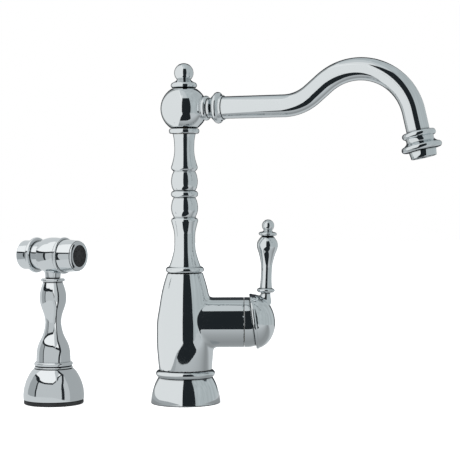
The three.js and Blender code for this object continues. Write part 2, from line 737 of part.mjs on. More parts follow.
// ---- Turret: turns about the arm's axis for temperature, slotted for the lever's spindle
const pinDrill = (reach) => alongY(disc(pin.radius + slideGap, -reach, reach, boreSides));
const turretEnd = leverPivot + turret.reach;
const turretRadius = shellInner - turret.playInShell;
const turretShape = turned([
  [0, turretFoot],
  [turretRadius, turretFoot],
  [turretRadius, turretShoulder],
  [turret.neckRadius, turretShoulder],
  [turret.neckRadius, turretEnd],
  [0, turretEnd],
]);
const slot = turret.slotHalfWidth;
const turretCutters = [
  bar([-9.6, -slot, turretFoot - cut], [8.2, slot, turretShoulder + 0.2]),
  bar([-6.4, -slot, turretShoulder], [5.4, slot, turretEnd + cut]),
  pinDrill(turret.neckRadius + cut).translate(0, 0, leverPivot),
];
add("cartridge_turret", shaped(turretShape, [], turretCutters), plastic, armFrame);
const pinShape = alongY(disc(pin.radius, -pin.halfLength, pin.halfLength, boreSides));
add("lever_pin", pinShape.translate(0, 0, leverPivot), steel, armFrame);

// ---- Sliding disc and its driver, moved up and down by the spindle's tail
const tailDrop = spindle.tail * Math.sin(radians(leverTilt));
const slidingFrame = frameAt(tailDrop, 0, 0, armFrame);
const slidingShape = disc(discs.slidingRadius, slidingFoot, slidingEnd, slimSides);
add("sliding_ceramic_disc", slidingShape, ceramic, slidingFrame);
const lugInside = spindle.radius + slideGap;
const lugOutside = lugInside + 1.9;
const lugWidth = 3;
const lugs = [
  bar([-lugOutside, -lugWidth, driverPlateEnd - cut], [-lugInside, lugWidth, lugEnd]),
  bar([lugInside, -lugWidth, driverPlateEnd - cut], [lugOutside, lugWidth, lugEnd]),
];
const driverPlate = disc(discs.slidingRadius - 0.4, driverFoot, driverPlateEnd, slimSides);
add("disc_driver", shaped(driverPlate, lugs, []), plastic, slidingFrame);

// ---- Lever: dome cap over the arm's end, spindle through the turret, turned stick and a set screw
const leverFrame = frameAt(leverPivot, 0, arm.height);
leverFrame.rotation.y = Math.PI / 2 - radians(leverTilt);
const rim = dome.standOff;
const apex = rim + dome.height;
const innerRadius = dome.radius - dome.wall;
const innerFlatten = (dome.height - dome.wall) / innerRadius;
const hubAngle = Math.acos(dome.hubRadius / innerRadius) * THREE.MathUtils.RAD2DEG;
const hubFoot = apex - dome.wall - dome.hubLength;
const domeShape = turned(
  [
    [0, spindle.reach + seatGap],
    [spindle.radius + slideGap, spindle.reach + seatGap],
    [spindle.radius + slideGap, hubFoot],
    [dome.hubRadius, hubFoot],
    ...roundArc(innerRadius, rim, hubAngle, 0, 4, innerFlatten),
    ...roundArc(dome.radius, rim, 0, 90, 8, dome.height / dome.radius),
  ],
  wideSides,
);
// The stick leans a little from upright; its boss is part of the dome casting.
const toLever = (geometry) =>
  geometry
    .rotateY(radians(stick.lean))
    .translate(stick.footOut, 0, stick.footUp)
    .rotateY(-(Math.PI / 2 - radians(leverTilt)));
const bossShape = toLever(
  turned([
    [0, -2.4],
    [6.2, -2.4],
    ...stack(-1.2, [swell(stick.neckHeight - 0.3 + 1.2, [7.4, 5.6, 4.8, stick.neckRadius], 4)]),
    [0, stick.neckHeight - seatGap],
  ]),
);
const tenonFoot = stick.neckHeight - tenon.length;
// What the stick's boss would leave inside the dome is cut away with the hollow.
const domeHollow = turned(
  [
    [0, rim - dome.height],
    [innerRadius, rim - dome.height],
    ...roundArc(innerRadius, rim, 0, hubAngle, 4, innerFlatten),
    [dome.hubRadius, hubFoot],
    [0, hubFoot],
  ],
  wideSides,
);
const domeCutters = [
  domeHollow,
  toLever(disc(tenon.radius + slideGap, tenonFoot - seatGap, stick.neckHeight + cut, boreSides)),
  alongX(disc(setScrew.radius + slideGap, 0, dome.radius, boreSides)).translate(0, 0, setScrew.place),
];
add("lever_dome", shaped(domeShape, [bossShape], domeCutters), chrome, leverFrame);

const stickFrame = frameAt(leverPivot + stick.footOut, 0, arm.height + stick.footUp);
stickFrame.rotation.y = radians(stick.lean);
const stickForm = [
  bead(4.4, 5, 8.6),
  swell(14.2, [5.9, 5.4, 5.15, 5.1], 3),
  swell(34.3, [5.1, 5.2, 5.7, 6.75, 8.2, 9.8, 9.5, 6.4], 9),
  swell(1, [6.4, 5.2], 1),
  bead(4, 5.2, 8.6),
  swell(2, [5.2, 4.2, 4.3], 2),
];
const knobRadius = 5.8;
const knobNeck = 4.3;
const stickNeckTop = stick.neckHeight + heightOf(stickForm);
const knobCentre = stickNeckTop + Math.sqrt(knobRadius ** 2 - knobNeck ** 2);
const knobAngle = -Math.acos(knobNeck / knobRadius) * THREE.MathUtils.RAD2DEG;
add(
  "lever_stick",
  turned([
    [0, tenonFoot],
    [tenon.radius, tenonFoot],
    [tenon.radius, stick.neckHeight],
    ...stack(stick.neckHeight, stickForm),
    ...roundArc(knobRadius, knobCentre, knobAngle, 90, 6),
  ]),
  chrome,
  stickFrame,
);

const eye = bar([-4, -spindle.radius - 0.1, -4], [4, spindle.radius + 0.1, 4]);
const spindleTail = new THREE.SphereGeometry(spindle.radius, boreSides, 8).translate(0, 0, -spindle.tail);
const rod = disc(spindle.radius, -spindle.tail, spindle.reach, boreSides);
add("lever_spindle", shaped(rod, [spindleTail, eye], [pinDrill(spindle.radius + cut)]), brass, leverFrame);
const screwStart = spindle.radius + slideGap;
const screwShape = alongX(disc(setScrew.radius, screwStart, screwStart + setScrew.length, boreSides));
add("lever_set_screw", screwShape.translate(0, 0, setScrew.place), steel, leverFrame);

// ---- Side spray holder: rubber gasket, turned bell and the bush that guides the hose coupling
const spray = frameAt(sprayX, 0, 0);
const holderGasketShape = ring(holderGasket.bore, holderGasket.radius, 0, holderGasket.height, wideSides);
add("holder_gasket", holderGasketShape, rubber, spray);
const bellFoot = holderGasket.height + seatGap;
const bellTop = bellFoot + holder.height;
const bellRadii = [28.7, 28.85, 28.6, 28.1, 27.1, 25.85, 24.1, 22.0, 18.9];
const bellLedge = bellFoot + holder.cavityHeight;
const bushHole = bush.radius + slideGap;
add(
  "spray_holder",
  turned(
    [
      [holder.cavity, bellFoot],
      ...stack(bellFoot, [swell(holder.height, bellRadii, 8)]),
      [bushHole, bellTop],
      [bushHole, bellLedge],
      [holder.cavity, bellLedge],
    ],
    wideSides,
  ),
  chrome,
  spray,
);
const bushTop = bellTop - 0.4;
add(
  "holder_bush",
  turned([
    [bush.bore, bellLedge - seatGap - bush.flangeHeight],
    [bush.flangeRadius, bellLedge - seatGap - bush.flangeHeight],
    [bush.flangeRadius, bellLedge - seatGap],
    [bush.radius, bellLedge - seatGap],
    [bush.radius, bushTop],
    [bush.bore, bushTop],
  ]),
  plastic,
  spray,
);

// ---- Hose coupling: it lifts out of the bush with the handset, which turns on its nipple
const flangeFoot = bellTop + seatGap;
const flangeTop = flangeFoot + coupling.flangeHeight;
const couplingFoot = bellLedge - seatGap - bush.flangeHeight;
const nippleTop = flangeTop + seatGap + nipple.length;
const sealFoot = flangeTop + nippleSeal.level;
const snapFoot = flangeTop + snapRing.level;
const nippleGroove = (foot, height, radius) => [
  [nipple.radius, foot - slideGap],
  [radius, foot - slideGap],
  [radius, foot + height + slideGap],
  [nipple.radius, foot + height + slideGap],
];
add(
  "hose_coupling",
  turned([
    [coupling.bore, couplingFoot],
    [coupling.radius, couplingFoot],
    [coupling.radius, flangeFoot],
    ...stack(flangeFoot, [bead(coupling.flangeHeight, coupling.flangeRadius - 1, coupling.flangeRadius, 3)]),
    [nipple.radius, flangeTop],
    ...nippleGroove(sealFoot, nippleSeal.height, nippleSeal.inner - slideGap),
    ...nippleGroove(snapFoot, snapRing.height, snapRing.inner - slideGap),
    [nipple.radius, nippleTop],
    [coupling.bore, nippleTop],
  ]),
  chrome,
  spray,
);
add(
  "coupling_seal",
  ring(nippleSeal.inner, nipple.radius, sealFoot, sealFoot + nippleSeal.height, slimSides),
  rubber,
  spray,
);
const openAngle = radians(snapRing.opening);
const snapOutline = new THREE.Shape();
snapOutline.absarc(0, 0, snapRing.outer, openAngle / 2, 2 * Math.PI - openAngle / 2, false);
snapOutline.absarc(0, 0, snapRing.inner, 2 * Math.PI - openAngle / 2, openAngle / 2, true);
const snapShape = new THREE.ExtrudeGeometry(snapOutline, {
  depth: snapRing.height,
  curveSegments: 9,
  bevelEnabled: false,
});
add("coupling_snap_ring", snapShape.translate(0, 0, snapFoot), steel, spray);

// ---- Handset handle: a turned baluster, bored for water, with a socket for the nipple
const handleFoot = flangeTop + seatGap;
const handleForm = [
  bead(handle.beadHeight, handle.neckRadius, handle.beadRadius, 5),
  swell(handle.lowerHeight, [16.3, 16.1, 15.85, 15.0, 13.35, 11.0, 9.2, 8.1, 7.5], 8),
  swell(handle.upperHeight, [7.5, 8.0, 9.25, 11.0, 12.3, 12.6, 12.15, 10.8, 9.2], 8),
];
const handleTop = handleFoot + heightOf(handleForm);
const nippleHole = nipple.radius + slideGap;
const snapHole = snapRing.outer + slideGap;
const tenonHoleFoot = handleTop - headNeck.tenonLength;
add(
  "spray_handle",
  turned([
    [nippleHole, handleFoot],
    ...stack(handleFoot, handleForm),
    [headNeck.tenonRadius + slideGap, handleTop],
    [headNeck.tenonRadius + slideGap, tenonHoleFoot],
    [handle.bore, tenonHoleFoot],
    [handle.bore, nippleTop + seatGap],
    [nippleHole, nippleTop + seatGap],
    [nippleHole, snapFoot + snapRing.height + slideGap],
    [snapHole, snapFoot + snapRing.height + slideGap],
    [snapHole, snapFoot - slideGap],
    [nippleHole, snapFoot - slideGap],
  ]),
  chrome,
  spray,
);
const neckCollarFoot = handleTop + seatGap;
const neckCollarTop = neckCollarFoot + handleCollar.thickness;
add(
  "handle_collar",
  turned([
    [headNeck.tenonRadius + slideGap, neckCollarFoot],
    ...stack(neckCollarFoot, [bead(handleCollar.thickness, handleCollar.radius - 1, handleCollar.radius, 3)]),
    [headNeck.tenonRadius + slideGap, neckCollarTop],
  ]),
  chrome,
  spray,
);

// ---- Spray head: a barrel across the handle. Its own frame has Z along the nozzle's direction
const headFrame = frameAt(0, 0, neckCollarTop + headLift, spray);
headFrame.rotation.z = -radians(headYaw);
const nozzleFrame = frameAt(0, 0, 0, headFrame);
nozzleFrame.rotation.y = Math.PI / 2;

const barrelWidth = head.frontEnd - rear.neckEnd - rear.neckLength;
const headBarrel = alongX(
  turned(
    [
      [0, rear.neckEnd],
      [rear.neckRadius, rear.neckEnd],
      [rear.neckRadius, rear.neckEnd + rear.neckLength],
      ...stack(rear.neckEnd + rear.neckLength, [
        swell(barrelWidth, [head.endRadius, 16.3, 16.85, head.barrelRadius, 16.9, 16.4, head.endRadius], 6),
      ]),
      [0, head.frontEnd],
    ],
    wideSides,
  ),
);
const neckFoot = seatGap - headLift;
const tenonEnd = neckFoot - handleCollar.thickness - seatGap - headNeck.tenonLength;
const neckShape = turned([
  [0, tenonEnd],
  [headNeck.tenonRadius, tenonEnd],
  [headNeck.tenonRadius, neckFoot],
  [headNeck.footRadius, neckFoot],
  [headNeck.topRadius, -head.barrelRadius],
  [headNeck.topRadius, head.neckTop],
  [0, head.neckTop],
]);
const frontBore = alongX(disc(frontRing.bore, valve.seatFront, head.frontEnd + cut, wideSides));
const headCutters = [
  alongX(disc(rear.bore, rear.neckEnd - cut, valve.seatBack, wideSides)),
  alongX(disc(valve.seatBore, valve.seatBack - cut, valve.seatFront + cut, boreSides)),
  frontBore,
  disc(handle.bore - 0.5, -headLift - 2 * headNeck.tenonLength, -rear.bore + 2, boreSides),
];
add("spray_head", shaped(headBarrel, [neckShape], headCutters), chrome, headFrame);

// Rear ring: screwed into the barrel, it guides the push button and its stem
const ringFoot = rear.neckEnd - seatGap - rearRing.width;
const ringFloor = rear.neckEnd - seatGap - 0.4;
const stemHole = valve.stemRadius + slideGap;
add(
  "button_guide_ring",
  turned(
    [
      [rearRing.bore, ringFoot],
      ...stack(ringFoot, [bead(rearRing.width, rearRing.radius - 1.6, rearRing.radius, 4)]),
      [rear.bore - slideGap, rear.neckEnd - seatGap],
      [rear.bore - slideGap, rear.neckEnd + rearRing.plugLength],
      [stemHole, rear.neckEnd + rearRing.plugLength],
      [stemHole, ringFloor],
      [rearRing.bore, ringFloor],
    ],
    wideSides,
  ),
  chrome,
  nozzleFrame,
);

// Push button: a turned cap on the valve stem, held out by a spring
const capFront = ringFloor - button.travel - seatGap;
const capBack = capFront - button.length;
const capInside = button.radius - button.wall;
const capFloor = capBack + button.wall;
add(
  "push_button",
  turned(
    [
      [0, capBack],
      [button.radius - 3.4, capBack],
      ...stack(capBack, [swell(2.6, [button.radius - 3, button.radius - 0.9, button.radius], 3)]),
      [button.radius, capFront],
      [capInside, capFront],
      [capInside, capFloor + button.crown],
      [button.bossRadius, capFloor + button.crown],
      [button.bossRadius, capFloor + button.bossLength],
      [stemHole, capFloor + button.bossLength],
      [stemHole, capFloor],
      [0, capFloor],
    ],
    wideSides,
  ),
  chrome,
  nozzleFrame,
);
const discFoot = valve.seatFront + seatGap;
const discEnd = discFoot + valveSeal.thickness;
add(
  "valve_stem",
  disc(valve.stemRadius, capFloor + seatGap, discEnd + valve.stemTip, boreSides),
  steel,
  nozzleFrame,
);
add("valve_seal", ring(stemHole, valveSeal.radius, discFoot, discEnd, slimSides), rubber, nozzleFrame);
const buttonSpring = coilSpring(7, 0.5, capFloor + button.crown + seatGap, ringFloor - 0.2, 4);
add("button_spring", buttonSpring, steel, nozzleFrame);

// Front: locking ring, tapered nozzle housing, rubber spray face with its jets, and the bezel that holds it
const frontRingFoot = head.frontEnd + seatGap;
const frontRingEnd = frontRingFoot + frontRing.width;
add(
  "nozzle_locking_ring",
  turned(
    [
      [frontRing.bore, frontRingFoot],
      ...stack(frontRingFoot, [bead(frontRing.width, frontRing.radius - 1.7, frontRing.radius, 4)]),
      [frontRing.bore, frontRingEnd],
    ],
    wideSides,
  ),
  chrome,
  nozzleFrame,
);
const nozzleFoot = frontRingEnd + seatGap;
const nozzleFace = nozzleFoot + front.length;
const pocketFloor = nozzleFace - front.pocket;
add(
  "nozzle_housing",
  turned(
    [
      [front.bore, frontRingFoot - front.plugLength],
      [frontRing.bore - slideGap, frontRingFoot - front.plugLength],
      [frontRing.bore - slideGap, nozzleFoot],
      [front.radius, nozzleFoot],
      [front.tipRadius, nozzleFace],
      [sprayFace.flangeRadius + slideGap, nozzleFace],
      [sprayFace.flangeRadius + slideGap, pocketFloor],
      [front.bore, pocketFloor],
    ],
    wideSides,
  ),
  chrome,
  nozzleFrame,
);
const faceFoot = pocketFloor + seatGap;
const faceFlange = nozzleFace - seatGap;
const faceFront = faceFoot + sprayFace.thickness;
const jets = [disc(sprayFace.jetRadius, faceFoot - cut, faceFront + cut, 6)];
for (let i = 0; i < sprayFace.jets; i += 1) {
  const angle = (2 * Math.PI * i) / sprayFace.jets;
  const jet = disc(sprayFace.jetRadius, faceFoot - cut, faceFront + cut, 6);
  jets.push(jet.translate(sprayFace.jetCircle * Math.cos(angle), sprayFace.jetCircle * Math.sin(angle), 0));
}
const faceBlank = turned([
  [0, faceFoot],
  [sprayFace.flangeRadius, faceFoot],
  [sprayFace.flangeRadius, faceFlange],
  [sprayFace.radius, faceFlange],
  [sprayFace.radius, faceFront],
  [0, faceFront],
]);
add("spray_face", shaped(faceBlank, [], jets), rubber, nozzleFrame);
const bezelFoot = nozzleFace + seatGap;
const bezelForm = swell(bezel.width, [bezel.radius, bezel.radius, bezel.radius - 0.5, bezel.radius - 1.6], 3);
add(
  "nozzle_bezel",
  turned(
    [
      [bezel.bore, bezelFoot],
      ...stack(bezelFoot, [bezelForm]),
      [bezel.bore, bezelFoot + bezel.width],
    ],
    wideSides,
  ),
  chrome,
  nozzleFrame,
);

export default faucet;
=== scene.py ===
"""A side spray kitchen faucet in polished chrome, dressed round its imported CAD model.

The CAD frame gives every place and every moving body. The pieces' lengths are millimetres, turned into metres by MM;
the studio's are metres.
"""
import json
import math

import bmesh
import bpy
import numpy as np
from mathutils import Matrix, Vector


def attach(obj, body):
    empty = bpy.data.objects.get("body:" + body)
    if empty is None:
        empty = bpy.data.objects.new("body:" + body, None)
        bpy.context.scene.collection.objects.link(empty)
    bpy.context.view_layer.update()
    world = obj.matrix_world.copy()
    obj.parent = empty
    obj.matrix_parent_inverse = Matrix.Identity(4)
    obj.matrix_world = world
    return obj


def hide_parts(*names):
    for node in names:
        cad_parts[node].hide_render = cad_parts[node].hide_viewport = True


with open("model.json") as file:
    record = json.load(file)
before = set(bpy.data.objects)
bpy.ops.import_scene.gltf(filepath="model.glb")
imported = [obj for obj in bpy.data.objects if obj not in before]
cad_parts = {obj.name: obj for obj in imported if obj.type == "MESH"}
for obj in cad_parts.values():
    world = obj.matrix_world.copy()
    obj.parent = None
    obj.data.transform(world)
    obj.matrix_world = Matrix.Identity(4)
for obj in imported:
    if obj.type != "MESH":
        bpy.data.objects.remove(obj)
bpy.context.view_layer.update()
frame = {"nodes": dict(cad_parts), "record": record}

MM = 0.001
scene = bpy.context.scene
scene.view_settings.view_transform = "Standard"


# ---- Camera
# The photograph is a long-lens product shot from in front, a little above the middle of the faucet. The uprights
# lean a quarter of a degree to the left at their tops, so the camera is rolled by as much.
CAMERA_PLACE = (43.05, -1425.0, 206.6)
CAMERA_DROP = 1.7
CAMERA_ROLL = -0.275
SENSOR = 36.0
FOCAL_IN_PIXELS = 1500.0
PICTURE_WIDTH = 460.0

camera_data = bpy.data.cameras.new("product_camera")
camera_data.sensor_width = SENSOR
camera_data.lens = SENSOR * FOCAL_IN_PIXELS / PICTURE_WIDTH
camera_data.clip_end = 20
camera = bpy.data.objects.new("product_camera", camera_data)
scene.collection.objects.link(camera)
camera.matrix_world = (
    Matrix.Translation(Vector(CAMERA_PLACE) * MM)
    @ Matrix.Rotation(math.radians(90 - CAMERA_DROP), 4, "X")
    @ Matrix.Rotation(math.radians(CAMERA_ROLL), 4, "Z")
)
scene.camera = camera


# ---- Studio
# A white sweep under soft lamps. Chrome shows only what stands round it, so boards hang about the faucet out of the
# camera's sight: a grey tent, a pale screen to the left and a black flag in front. The side spray has its own cards.
def feed(tree, node, inputs):
    """Gives inputs of a node, by name or number, a value or another node's output."""
    for name, source in inputs.items():
        if isinstance(source, bpy.types.NodeSocket):
            tree.links.new(source, node.inputs[name])
        else:
            node.inputs[name].default_value = source
    return node


def new_node(tree, kind, inputs=None, **settings):
    """A new shader node of a kind, given its settings and then its inputs."""
    node = tree.nodes.new("ShaderNode" + kind)
    for setting, value in settings.items():
        setattr(node, setting, value)
    return feed(tree, node, inputs or {})


def new_finish(name):
    """A new material, with its node tree and its main shader."""
    material = bpy.data.materials.new(name)
    material.use_nodes = True
    return material, material.node_tree, material.node_tree.nodes["Principled BSDF"]


def studio_object(name, mesh):
    piece = bpy.data.objects.new(name, mesh)
    scene.collection.objects.link(piece)
    return piece


FLOOR_REACH, FLOOR_LIFT = 4.0, 0.7
floor_mesh = bpy.data.meshes.new("sweep")
floor_corners = [(-FLOOR_REACH, FLOOR_REACH, 0), (FLOOR_REACH, FLOOR_REACH, 0), (FLOOR_REACH, -FLOOR_REACH, 0),
                 (-FLOOR_REACH, -FLOOR_REACH, 0)]
floor_mesh.from_pydata(floor_corners, [], [(0, 1, 2, 3)])
floor = studio_object("sweep", floor_mesh)
floor.visible_glossy = False
floor_material, floor_tree, floor_shader = new_finish("white_sweep")
floor_seen = new_node(floor_tree, "LightPath").outputs["Is Camera Ray"]
floor_glow = new_node(floor_tree, "Math", {0: floor_seen, 1: FLOOR_LIFT}, operation="MULTIPLY")
feed(floor_tree, floor_shader, {
    "Base Color": (0.86, 0.86, 0.86, 1),
    "Roughness": 0.9,
    "Specular IOR Level": 0.0,
    "Emission Color": (1, 1, 1, 1),
    "Emission Strength": floor_glow.outputs[0],
})
floor_mesh.materials.append(floor_material)

# The world lights the set with an even grey. The camera sees it as a white backdrop, and so do mirrors and glass.
world = bpy.data.worlds.new("studio")
scene.world = world
world.use_nodes = True
air = world.node_tree
air.nodes.clear()
backdrop = new_node(air, "Background", {"Color": (1, 1, 1, 1), "Strength": 1.0})
ambient = new_node(air, "Background", {"Color": (0.93, 0.97, 1, 1), "Strength": 0.62})
ray = new_node(air, "LightPath").outputs
direct = new_node(air, "Math", {0: ray["Is Camera Ray"], 1: ray["Is Glossy Ray"]}, operation="MAXIMUM").outputs[0]
white = new_node(air, "Math", {0: direct, 1: ray["Is Transmission Ray"]}, operation="MAXIMUM").outputs[0]
sky = new_node(air, "MixShader", {0: white, 1: ambient.outputs[0], 2: backdrop.outputs[0]})
new_node(air, "OutputWorld", {"Surface": sky.outputs[0]})


def board_of(name, corners, faces, tone, streaks=0.0, one_sided=False):
    """A board that only metal shows, with the faint upright streaks of a hung cloth. A one-sided board can be seen
    through from behind."""
    mesh = bpy.data.meshes.new(name)
    mesh.from_pydata(corners, [], faces)
    board = studio_object(name, mesh)
    board.visible_camera = False
    board.visible_diffuse = False
    board.visible_shadow = False
    board.visible_transmission = False
    material, tree, _ = new_finish(name)
    tree.nodes.clear()
    glow = new_node(tree, "Emission", {"Color": (*tone, 1)})
    shown = glow.outputs[0]
    if streaks:
        where = new_node(tree, "TexCoord").outputs["Object"]
        stretch = new_node(tree, "Mapping", {"Vector": where, "Scale": (1, 1, 0.06)})
        cloth = new_node(tree, "TexNoise", {"Vector": stretch.outputs["Vector"], "Scale": 2.2, "Detail": 3.0})
        shade = new_node(tree, "MapRange", {
            "Value": cloth.outputs["Fac"],
            "From Min": 0.3,
            "From Max": 0.7,
            "To Min": 1 - streaks,
            "To Max": 1 + streaks,
        })
        feed(tree, glow, {"Strength": shade.outputs["Result"]})
    if one_sided:
        behind = new_node(tree, "NewGeometry").outputs["Backfacing"]
        clear = new_node(tree, "BsdfTransparent").outputs[0]
        shown = new_node(tree, "MixShader", {0: behind, 1: shown, 2: clear}).outputs[0]
    new_node(tree, "OutputMaterial", {"Surface": shown})
    mesh.materials.append(material)
    return board


def angles_between(start, end, steps):
    """Angles at equal steps between two in degrees, as radians."""
    return [math.radians(start + (end - start) * i / steps) for i in range(steps + 1)]


BOARD_COLUMNS, BOARD_ROWS, BOARD_MIDDLE = 48, 16, 0.15


def hung_board(name, distance, azimuths, heights, tone, streaks=0.0):
    """A curved board round the faucet, from one azimuth to another (0 is in front, positive to the right) and
    between two angles of height."""
    corners = [
        (
            distance * math.cos(height) * math.sin(azimuth),
            -distance * math.cos(height) * math.cos(azimuth),
            BOARD_MIDDLE + distance * math.sin(height),
        )
        for height in angles_between(*heights, BOARD_ROWS)
        for azimuth in angles_between(*azimuths, BOARD_COLUMNS)
    ]
    row = BOARD_COLUMNS + 1
    firsts = [row * j + i for j in range(BOARD_ROWS) for i in range(BOARD_COLUMNS)]
    board_of(name, corners, [(i, i + 1, i + row + 1, i + row) for i in firsts], tone, streaks)


def laid_sheet(name, corners, level, tone, fade=()):
    """A flat sheet on the floor. A fade lists the sheet's strength at some distances behind the faucet's middle."""
    sheet = board_of(name, [(x, y, level) for x, y in corners], [tuple(range(len(corners)))], tone)
    if fade:
        tree = sheet.data.materials[0].node_tree
        first, last = fade[0][0], fade[-1][0]
        where = new_node(tree, "TexCoord").outputs["Object"]
        behind = new_node(tree, "SeparateXYZ", {0: where}).outputs["Y"]
        along = new_node(tree, "MapRange", {"Value": behind, "From Min": first, "From Max": last})
        ramp = new_node(tree, "ValToRGB", {"Fac": along.outputs["Result"]})
        marks = ramp.color_ramp.elements
        for i, (distance, strength) in enumerate(fade):
            mark = marks[i] if i < 2 else marks.new(1.0)
            mark.position = (distance - first) / (last - first)
            mark.color = (strength, strength, strength, 1)
        feed(tree, tree.nodes["Emission"], {"Strength": ramp.outputs["Color"]})


BLACK = (0.016, 0.020, 0.023)
PALE = (0.84, 0.85, 0.85)
SIDE_GREY = (0.36, 0.38, 0.38)
hung_board("grey_tent", 3.4, (-180, 180), (-89, 89), (0.48, 0.52, 0.53), streaks=0.12)
hung_board("pale_screen", 1.9, (-130, -8), (-60, 66), PALE, streaks=0.04)
hung_board("upper_screen", 1.8, (-140, -8), (66, 89), (0.64, 0.67, 0.68))
hung_board("middle_screen", 1.7, (-8, 24), (54, 89), (0.62, 0.65, 0.66))
hung_board("side_screen", 2.0, (-151, -129), (-60, 60), SIDE_GREY)
hung_board("black_flag", 0.85, (-9, 34), (-12, 54), BLACK)
hung_board("back_flag", 2.4, (150, 210), (-33, 52), (0.04, 0.045, 0.05))
TABLE_LEVEL, CLOTH_LEVEL = 0.001, 0.002
GREY_TABLE = [(-0.056, -0.5), (0.6, -0.5), (0.6, 0.5), (-0.095, 0.5), (-0.095, -0.1), (-0.1, -0.3)]
# The grey table's fade is painted shadow: darkest in a band under the faucet and its arm, lighter in front and behind.
TABLE_SHADOW_FADE = [(-0.2, 0.60), (-0.09, 0.46), (-0.01, 0.31), (0.04, 0.34), (0.10, 0.58)]
BLACK_CLOTH = [(-0.056, -0.5), (-0.1, -0.8), (0.5, -0.8), (0.3, -0.46), (0.19, -0.185), (0.15, -0.158), (0.09, -0.152),
               (0.0, -0.155), (-0.07, -0.146), (-0.094, -0.15), (-0.094, -0.3)]
laid_sheet("grey_table", GREY_TABLE, TABLE_LEVEL, (0.96, 1.0, 1.02), TABLE_SHADOW_FADE)
laid_sheet("black_cloth", BLACK_CLOTH, CLOTH_LEVEL, BLACK)

# The side spray has its own set, as if photographed apart. A divider, pale on the faucet's side, keeps it out of the
# faucet's reflections. Grey cards with a black rim stand round the spray under a white roof. Each card shows on one
# side only and is clear from behind.
SPRAY_SPOT = (-0.1257, 0.0, 0.035)
CARD_TOP = 0.62


def seen_at(angle):
    """An edge that the side spray sees at one angle above level, as its height over a point of the floor."""
    def height_over(point):
        away = math.hypot(point[0] - SPRAY_SPOT[0], point[1] - SPRAY_SPOT[1])
        return min(CARD_TOP, SPRAY_SPOT[2] + away * math.tan(math.radians(angle)))

    return height_over


def standing_card(name, line, foot, top, tone):
    """A card that stands along a line on the floor and shows on the right of the line only. Its foot and top are
    heights, or edges seen at an angle."""
    corners = [(x, y, edge((x, y)) if callable(edge) else edge) for edge in (foot, top) for x, y in line]
    count = len(line)
    faces = [(i, i + 1, count + i + 1, count + i) for i in range(count - 1)]
    board_of(name, corners, faces, tone, one_sided=True)


DIVIDER_END, SET_BACK = 0.08, 0.12
DIVIDER_LINE = [(-0.075, -0.47), (-0.1, -0.3), (-0.095, -0.1), (-0.095, DIVIDER_END)]
standing_card("divider_pale", DIVIDER_LINE, 0.0, CARD_TOP, PALE)
standing_card("divider_back", [(-0.095, DIVIDER_END), (-0.095, 0.125)], 0.0, CARD_TOP, SIDE_GREY)
FOOT_SHADE = [(-0.08, -0.42, 0.001), (-0.095, -0.17, 0.009), (-0.0945, -0.074, 0.011), (-0.0945, -0.013, 0.008),
              (-0.0945, 0.038, 0.013), (-0.0945, DIVIDER_END, 0.018)]
shade_corners = [(x, y, 0.0) for x, y, _ in FOOT_SHADE] + FOOT_SHADE
shade_faces = [(i, i + 1, i + len(FOOT_SHADE) + 1, i + len(FOOT_SHADE)) for i in range(len(FOOT_SHADE) - 1)]
board_of("divider_foot", shade_corners, shade_faces, (0.40, 0.42, 0.43), one_sided=True)

NEAR_X, LEFT_X, FRONT_Y = -0.0955, -0.42, -0.48
CORNER_Y, LEFT_END = -0.027, 0.08
NEAR_LINE = [(NEAR_X, SET_BACK), (NEAR_X, 0.02), (NEAR_X, CORNER_Y)]
FRONT_LINE = [(NEAR_X, CORNER_Y), (NEAR_X, -0.04), (NEAR_X, -0.06), (NEAR_X, -0.1), (-0.0975, -0.2), (-0.101, -0.3),
              (-0.077, FRONT_Y), (-0.2, FRONT_Y), (-0.3, FRONT_Y), (LEFT_X, FRONT_Y), (LEFT_X, -0.3), (LEFT_X, -0.16)]
LEFT_EDGE = [(LEFT_X, -0.16), (LEFT_X, -0.12)]
LEFT_LINE = [(LEFT_X, -0.12), (LEFT_X, 0.0), (LEFT_X, LEFT_END)]
BACK_LINE = [(LEFT_X, LEFT_END), (LEFT_X, SET_BACK), (NEAR_X, SET_BACK)]
RIM_LINE = FRONT_LINE + LEFT_LINE
RIM_FOOT, RIM_TOP = seen_at(28), seen_at(34.5)
NEAR_STEP = 0.25
NEAR_GREY = (0.42, 0.44, 0.45)
FRONT_GREY = (0.58, 0.60, 0.61)
LEFT_GREY = (0.38, 0.40, 0.41)
LIGHT_GREY = (0.66, 0.68, 0.69)
WHITE = (1.02, 1.02, 1.02)
standing_card("spray_near_card", NEAR_LINE, 0.0, NEAR_STEP, NEAR_GREY)
standing_card("spray_near_top", NEAR_LINE, NEAR_STEP, CARD_TOP, LIGHT_GREY)
standing_card("spray_front_card", FRONT_LINE, 0.0, RIM_FOOT, FRONT_GREY)
standing_card("spray_left_edge", LEFT_EDGE, 0.0, RIM_FOOT, BLACK)
standing_card("spray_left_card", LEFT_LINE, 0.0, RIM_FOOT, LEFT_GREY)
standing_card("spray_rim", RIM_LINE, RIM_FOOT, RIM_TOP, BLACK)
standing_card("spray_upper_card", RIM_LINE, RIM_TOP, CARD_TOP, WHITE)
standing_card("spray_back_card", BACK_LINE, 0.0, CARD_TOP, LIGHT_GREY)

